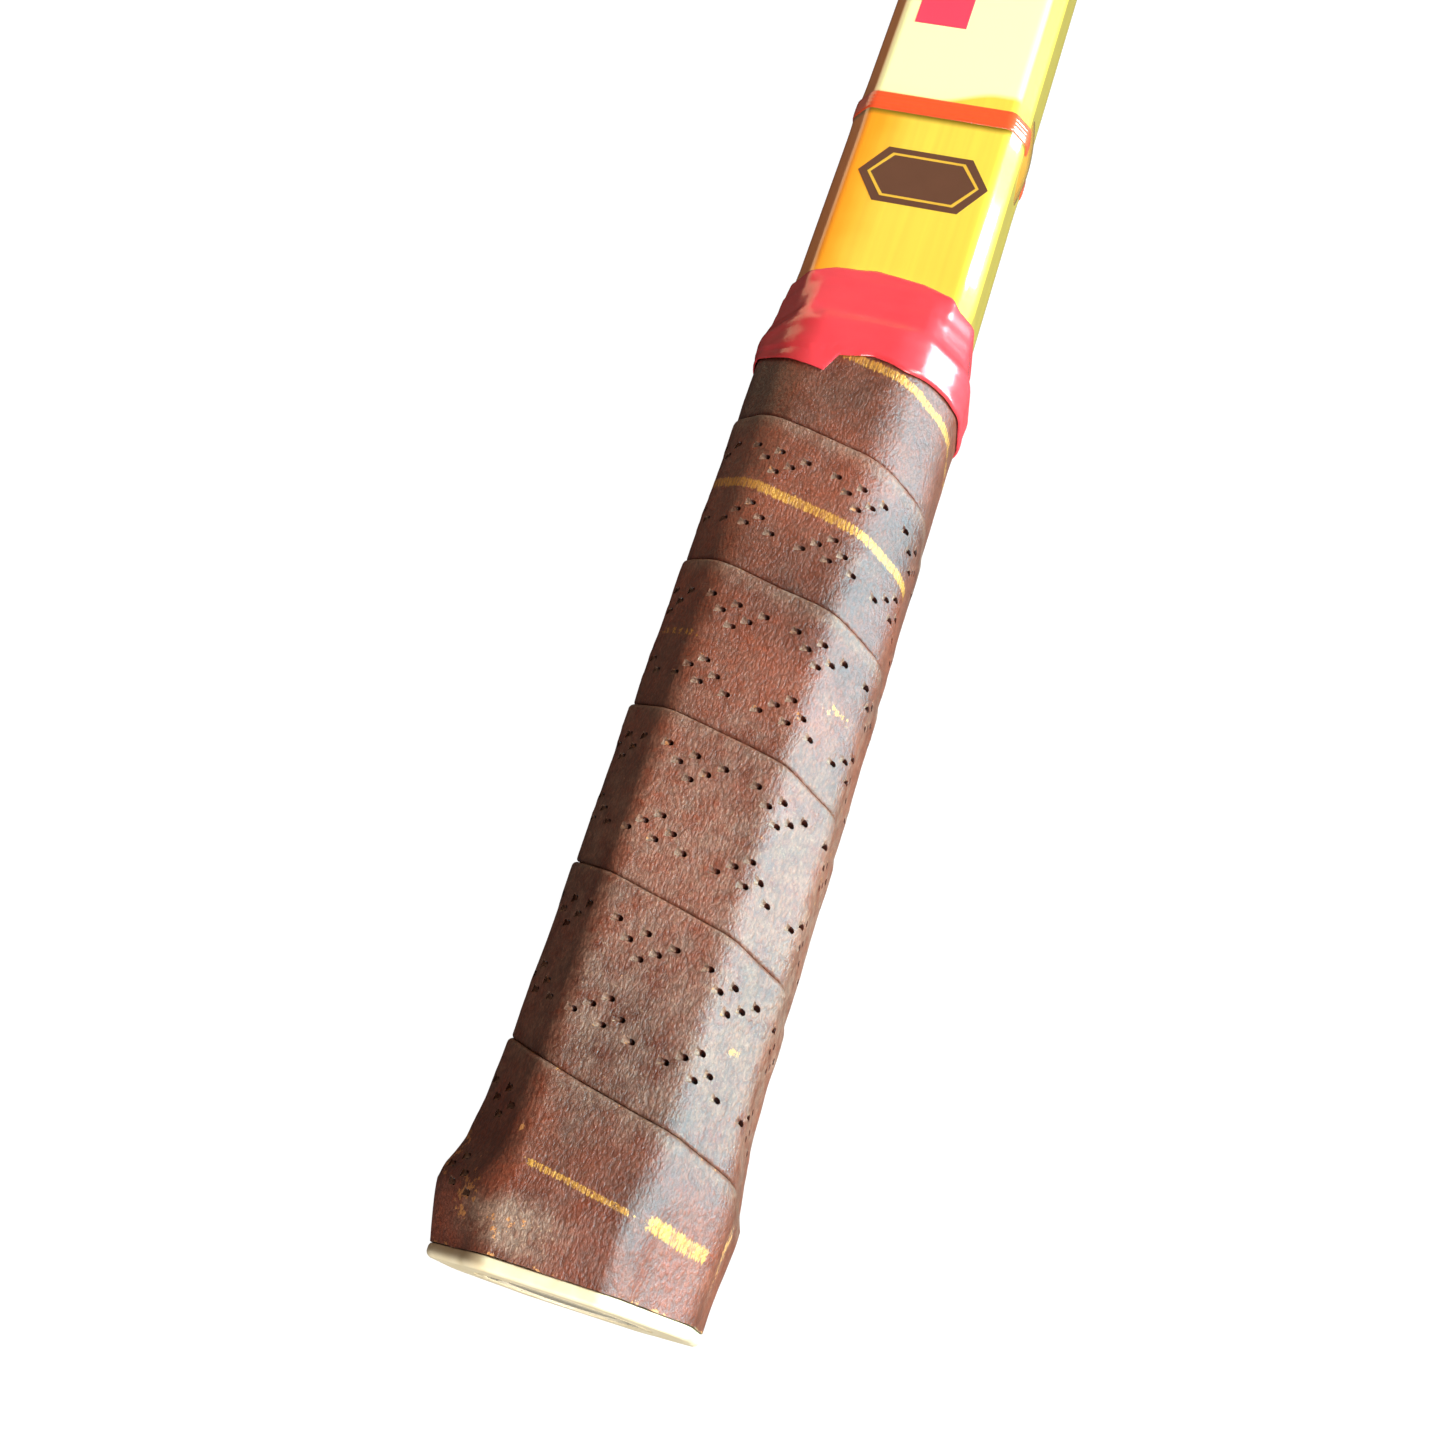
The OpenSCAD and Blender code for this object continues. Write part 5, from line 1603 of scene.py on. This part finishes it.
class RACKET_OT_strings(bpy.types.Operator):
    """Main and cross strings, woven, with their knots"""
    bl_idname = "racket.strings"
    bl_label = "Strings"

    MAIN_WAVE, CROSS_WAVE = 0.42, 0.92

    def execute(self, context):
        settings = context.scene.racket_strings
        gut = self.gut_material(settings)
        radius = settings.gauge / 2
        tree = cord_tree()
        for name, path, node_name in (("mains", self.main_path(), "main_string"),
                                      ("crosses", self.cross_path(), "cross_string")):
            string = applied(path_curve(name, path), tree, {"Radius": radius, "Sides": 8, "Material": gut})
            finished(string, "string_gut", node_name)
        self.knots(gut)
        return {"FINISHED"}

    def bend_out(self, mouth, z_turn, towards):
        """Points from the inner mouth, out through the hole and into the groove"""
        inner, s = mouth
        out = outline(s, STRING_D)
        way = (out - inner) / np.linalg.norm(out - inner)
        step = 1.6 if towards > s else -1.6
        near_out = inner + way * (np.linalg.norm(out - inner) - 1.6)
        return [(*inner, 0.0), (*near_out, 0.0), (*out, z_turn * 0.45),
                (*outline(s + step, STRING_D - 0.1), z_turn)]

    def turn(self, s0, s1, z):
        """Points along the groove from one hole to the next, clear of both bends"""
        count = max(3, int(abs(s1 - s0) / 3))
        return [(*outline(s0 + (s1 - s0) * k / count, STRING_D - 0.1), z) for k in range(1, count)
                if abs((s1 - s0) * k / count) > 1.8 and abs((s1 - s0) * (count - k) / count) > 1.8]

    def main_path(self):
        """Up and down the mains, over and under the crosses, as one string"""
        path = []
        rows = [MID_Y + cross_dy(j) for j in range(CROSSES)]
        for k in range(MAINS):
            up = k % 2 == 0
            low, high = main_bottom(main_x(k)), main_top(main_x(k))
            begin, end = (low, high) if up else (high, low)
            after = None if k == MAINS - 1 else (main_top if up else main_bottom)(main_x(k + 1))
            before = None if k == 0 else (main_bottom if up else main_top)(main_x(k - 1))
            lead = self.bend_out(begin, STRING_LIFT if before else 0, before[1] if before else begin[1] - 1)
            path += reversed(lead)
            x = main_x(k)
            span = []
            for j in range(CROSSES):
                y = rows[j]
                if low[0][1] + 2 < y < high[0][1] - 2:
                    z = -self.MAIN_WAVE * (1 if (k + j) % 2 == 0 else -1)
                    span += [(x, y - 2.2, z * 0.8), (x, y, z), (x, y + 2.2, z * 0.8)]
            path += span if up else span[::-1]
            tail = self.bend_out(end, STRING_LIFT if after else 0, after[1] if after else end[1] + 1)
            path += tail
            if after:
                path += self.turn(end[1], after[1], STRING_LIFT)
        return softened(np.array(path), 2)

    def cross_path(self):
        """Across and back through the mains, as one string"""
        path = []
        for j in range(CROSSES):
            right = j % 2 == 0
            left_m, right_m = cross_left(cross_dy(j)), cross_right(cross_dy(j))
            begin, end = (left_m, right_m) if right else (right_m, left_m)
            pick = cross_right if right else cross_left
            after = None if j == CROSSES - 1 else pick(cross_dy(j + 1))
            other = cross_left if right else cross_right
            before = None if j == 0 else other(cross_dy(j - 1))
            lead = self.bend_out(begin, -STRING_LIFT if before else 0, before[1] if before else begin[1] - 1)
            path += reversed(lead)
            y, span = MID_Y + cross_dy(j), []
            reach = right_m[0][0]
            for k in range(MAINS):
                if abs(main_x(k)) < reach - 2:
                    z = self.CROSS_WAVE * (1 if (k + j) % 2 == 0 else -1)
                    span += [(main_x(k) - 1.7, y, z * 0.86), (main_x(k), y, z), (main_x(k) + 1.7, y, z * 0.86)]
            path += span if right else span[::-1]
            tail = self.bend_out(end, -STRING_LIFT if after else 0, after[1] if after else end[1] + 1)
            path += tail
            if after:
                path += self.turn(end[1], after[1], -STRING_LIFT)
        return softened(np.array(path), 2)

    def knots(self, gut):
        """A small half-hitch knot in the groove at each string's end"""
        ends = [main_bottom(main_x(0)), main_bottom(main_x(MAINS - 1)),
                cross_left(cross_dy(0)), cross_right(cross_dy(CROSSES - 1))]
        turns, steps = 2, 40
        a = np.linspace(0, 2 * math.pi * turns, steps)
        wrap = np.stack([0.62 * np.cos(a), 0.62 * np.sin(a), 0.32 * (a / a[-1] - 0.5) * 2.2], -1)
        knot = applied(path_curve("knot", wrap), cord_tree(),
                       {"Radius": 0.42 * MM, "Sides": 6, "Material": gut})
        points = hole_points("tie_off_knots", ends, -STRING_D + 0.15)
        knots = applied(points, copies_tree(), {"Part": knot, "Material": gut})
        bpy.data.objects.remove(knot)
        finished(knots, "string_gut", "tie_knots")

    def gut_material(self, settings):
        """Natural gut, twisted and varnished: warm, translucent and finely ridged."""
        material, tree, shader = new_material("Natural gut, twisted and varnished")
        place = node(tree, "ShaderNodeTexCoord")
        twist = node(tree, "ShaderNodeTexWave", {"Scale": 1 / (2.4 * MM), "Distortion": 1.5, "Detail": 1.0},
                     {"Vector": place.outputs["Object"]}, bands_direction="DIAGONAL")
        tint = node(tree, "ShaderNodeMix", {6: (*srgb("#D9C48C"), 1), 7: (*settings.gut, 1)},
                    {0: twist.outputs["Fac"]}, data_type="RGBA")
        set_shader(shader, Base_Color=tint.outputs[2])
        bump = node(tree, "ShaderNodeBump",
                    {"Strength": 0.3, "Distance": 0.05 * MM}, {"Height": twist.outputs["Fac"]})
        set_shader(shader, Normal=bump.outputs[0],
                   Roughness=0.3, Subsurface_Weight=0.3, Subsurface_Scale=0.001, Coat_Weight=0.4,
                   Coat_Roughness=0.1)
        return material


# ---- Studio ----------------------------------------------------------------

class RACKET_OT_studio(bpy.types.Operator):
    """Plain pale floor, soft lights and the camera"""
    bl_idname = "racket.studio"
    bl_label = "Studio"

    CAMERA_AT = (0.04425, -0.00751, 0.22339)
    CAMERA_TURN = (25.054, 4.778, 17.174)
    LENS = 39.86
    FLOOR_HALF = 5.0
    # Paper: tone for bounced light, and how far it lies below the racket, mm
    PAPER_TONE, PAPER_DROP = 0.06, 0.05
    ROOM = (0.13, 0.085, 0.065)
    SUN_WAY = (-0.72, -0.22, -0.60)
    # Soft panels: name, place, target, size, which power and how much of it, colour
    PANELS = (
        ("side_panel", (0.95, 0.44, 0.25), (0.0, 0.10, 0.0), (1.0, 0.45), "key", 1.0, (0.52, 0.92, 1.0)),
        ("overhead_panel", (0.95, -0.25, 0.95), (0.0, 0.15, 0.0), (0.5, 0.5), "fill", 1.0, (1.0, 0.96, 0.90)),
        ("butt_panel", (0.1, -0.9, 0.15), (0.0, 0.0, 0.0), (0.5, 0.3), "fill", 0.6, (1.0, 0.98, 0.94)),
        ("shaft_panel", (-0.26, 0.48, 0.08), (-0.015, 0.24, 0.0), (0.3, 0.2), "fill", 0.02, (1.0, 0.75, 0.45)))

    def execute(self, context):
        settings = context.scene.racket_studio
        self.floor(settings)
        self.world()
        for name, place, target, size, power, share, colour in self.PANELS:
            self.panel_light(name, place, target, size, getattr(settings, power) * share, colour)
        sun = bpy.data.lights.new("low_sun", "SUN")
        sun.energy, sun.angle, sun.color = settings.sun, math.radians(4), (1.0, 0.93, 0.84)
        lamp = linked(bpy.data.objects.new("low_sun", sun))
        lamp.rotation_euler = Vector(self.SUN_WAY).to_track_quat("-Z", "Y").to_euler()
        camera = bpy.data.cameras.new("camera")
        camera.lens = self.LENS
        camera.sensor_width = 36
        camera.clip_start, camera.clip_end = 0.01, 50
        eye = linked(bpy.data.objects.new("camera", camera))
        eye.location = self.CAMERA_AT
        eye.rotation_euler = Euler([math.radians(a) for a in self.CAMERA_TURN], "XYZ")
        context.scene.camera = eye
        context.scene.view_settings.view_transform = "Standard"
        return {"FINISHED"}

    def floor(self, settings):
        """White paper just under the racket. Only the camera sees it glow, so it throws no
        glare up at the gloss finishes"""
        h = self.FLOOR_HALF / MM
        z = float(CAD_BOX[0][2]) / MM - self.PAPER_DROP
        material, tree, shader = new_material("Studio paper, white")
        place = node(tree, "ShaderNodeTexCoord")
        tooth = node(tree, "ShaderNodeTexNoise",
                     {"Scale": 900.0, "Detail": 2.0}, {"Vector": place.outputs["Object"]})
        bump = node(tree, "ShaderNodeBump",
                    {"Strength": 0.03, "Distance": 0.1 * MM}, {"Height": tooth.outputs["Fac"]})
        set_shader(shader, Normal=bump.outputs[0])
        seen = node(tree, "ShaderNodeLightPath")
        set_shader(shader, Emission_Strength=seen.outputs["Is Camera Ray"],
                   Base_Color=tuple(self.PAPER_TONE * c for c in settings.floor), Roughness=0.9,
                   Emission_Color=(1, 1, 1))
        floor = mesh_object("studio_floor", [(-h, -h, z), (h, -h, z), (h, h, z), (-h, h, z)], [(0, 1, 2, 3)],
                            material, smooth=False)

    def world(self):
        """White behind the racket, with a dim warm room for its finishes to reflect"""
        world = bpy.data.worlds.new("studio")
        bpy.context.scene.world = world
        world.use_nodes = True
        tree = world.node_tree
        back = tree.nodes["Background"]
        seen = node(tree, "ShaderNodeLightPath")
        room = node(tree, "ShaderNodeMix", {6: (*self.ROOM, 1), 7: (1, 1, 1, 1)},
                    {0: seen.outputs["Is Camera Ray"]}, data_type="RGBA")
        tree.links.new(room.outputs[2], back.inputs["Color"])

    def panel_light(self, name, place, target, size, power, colour):
        light = bpy.data.lights.new(name, "AREA")
        light.shape = "RECTANGLE"
        light.size, light.size_y = size
        light.energy = power
        light.color = colour
        lamp = linked(bpy.data.objects.new(name, light))
        lamp.location = place
        lamp.rotation_euler = (Vector(target) - Vector(place)).to_track_quat("-Z", "Y").to_euler()


# ---- Panel and run ---------------------------------------------------------

OPERATORS = (RACKET_OT_bow, RACKET_OT_shaft, RACKET_OT_grip, RACKET_OT_collar, RACKET_OT_butt,
             RACKET_OT_strings, RACKET_OT_studio)
SETTING_NAMES = ("racket_frame", "racket_shaft", "racket_grip", "racket_collar", "racket_butt",
                 "racket_strings", "racket_studio")


class RACKET_PT_build(bpy.types.Panel):
    """Lists the racket's pieces and their settings"""
    bl_idname = "RACKET_PT_build"
    bl_label = "Wooden racket"
    bl_space_type = "VIEW_3D"
    bl_region_type = "UI"
    bl_category = "Racket"

    def draw(self, context):
        for operator, name in zip(OPERATORS, SETTING_NAMES):
            box = self.layout.box()
            settings = getattr(context.scene, name)
            for key in settings.__annotations__:
                box.prop(settings, key)
            box.operator(operator.bl_idname)


def register():
    for kind in (*SETTINGS, *OPERATORS, RACKET_PT_build):
        bpy.utils.register_class(kind)
    for name, kind in zip(SETTING_NAMES, SETTINGS):
        setattr(bpy.types.Scene, name, bpy.props.PointerProperty(type=kind))


def unregister():
    for name in SETTING_NAMES:
        delattr(bpy.types.Scene, name)
    for kind in reversed((*SETTINGS, *OPERATORS, RACKET_PT_build)):
        bpy.utils.unregister_class(kind)


def main():
    register()
    for operator in OPERATORS:
        group, name = operator.bl_idname.split(".")
        getattr(getattr(bpy.ops, group), name)()


if __name__ == "__main__":
    main()
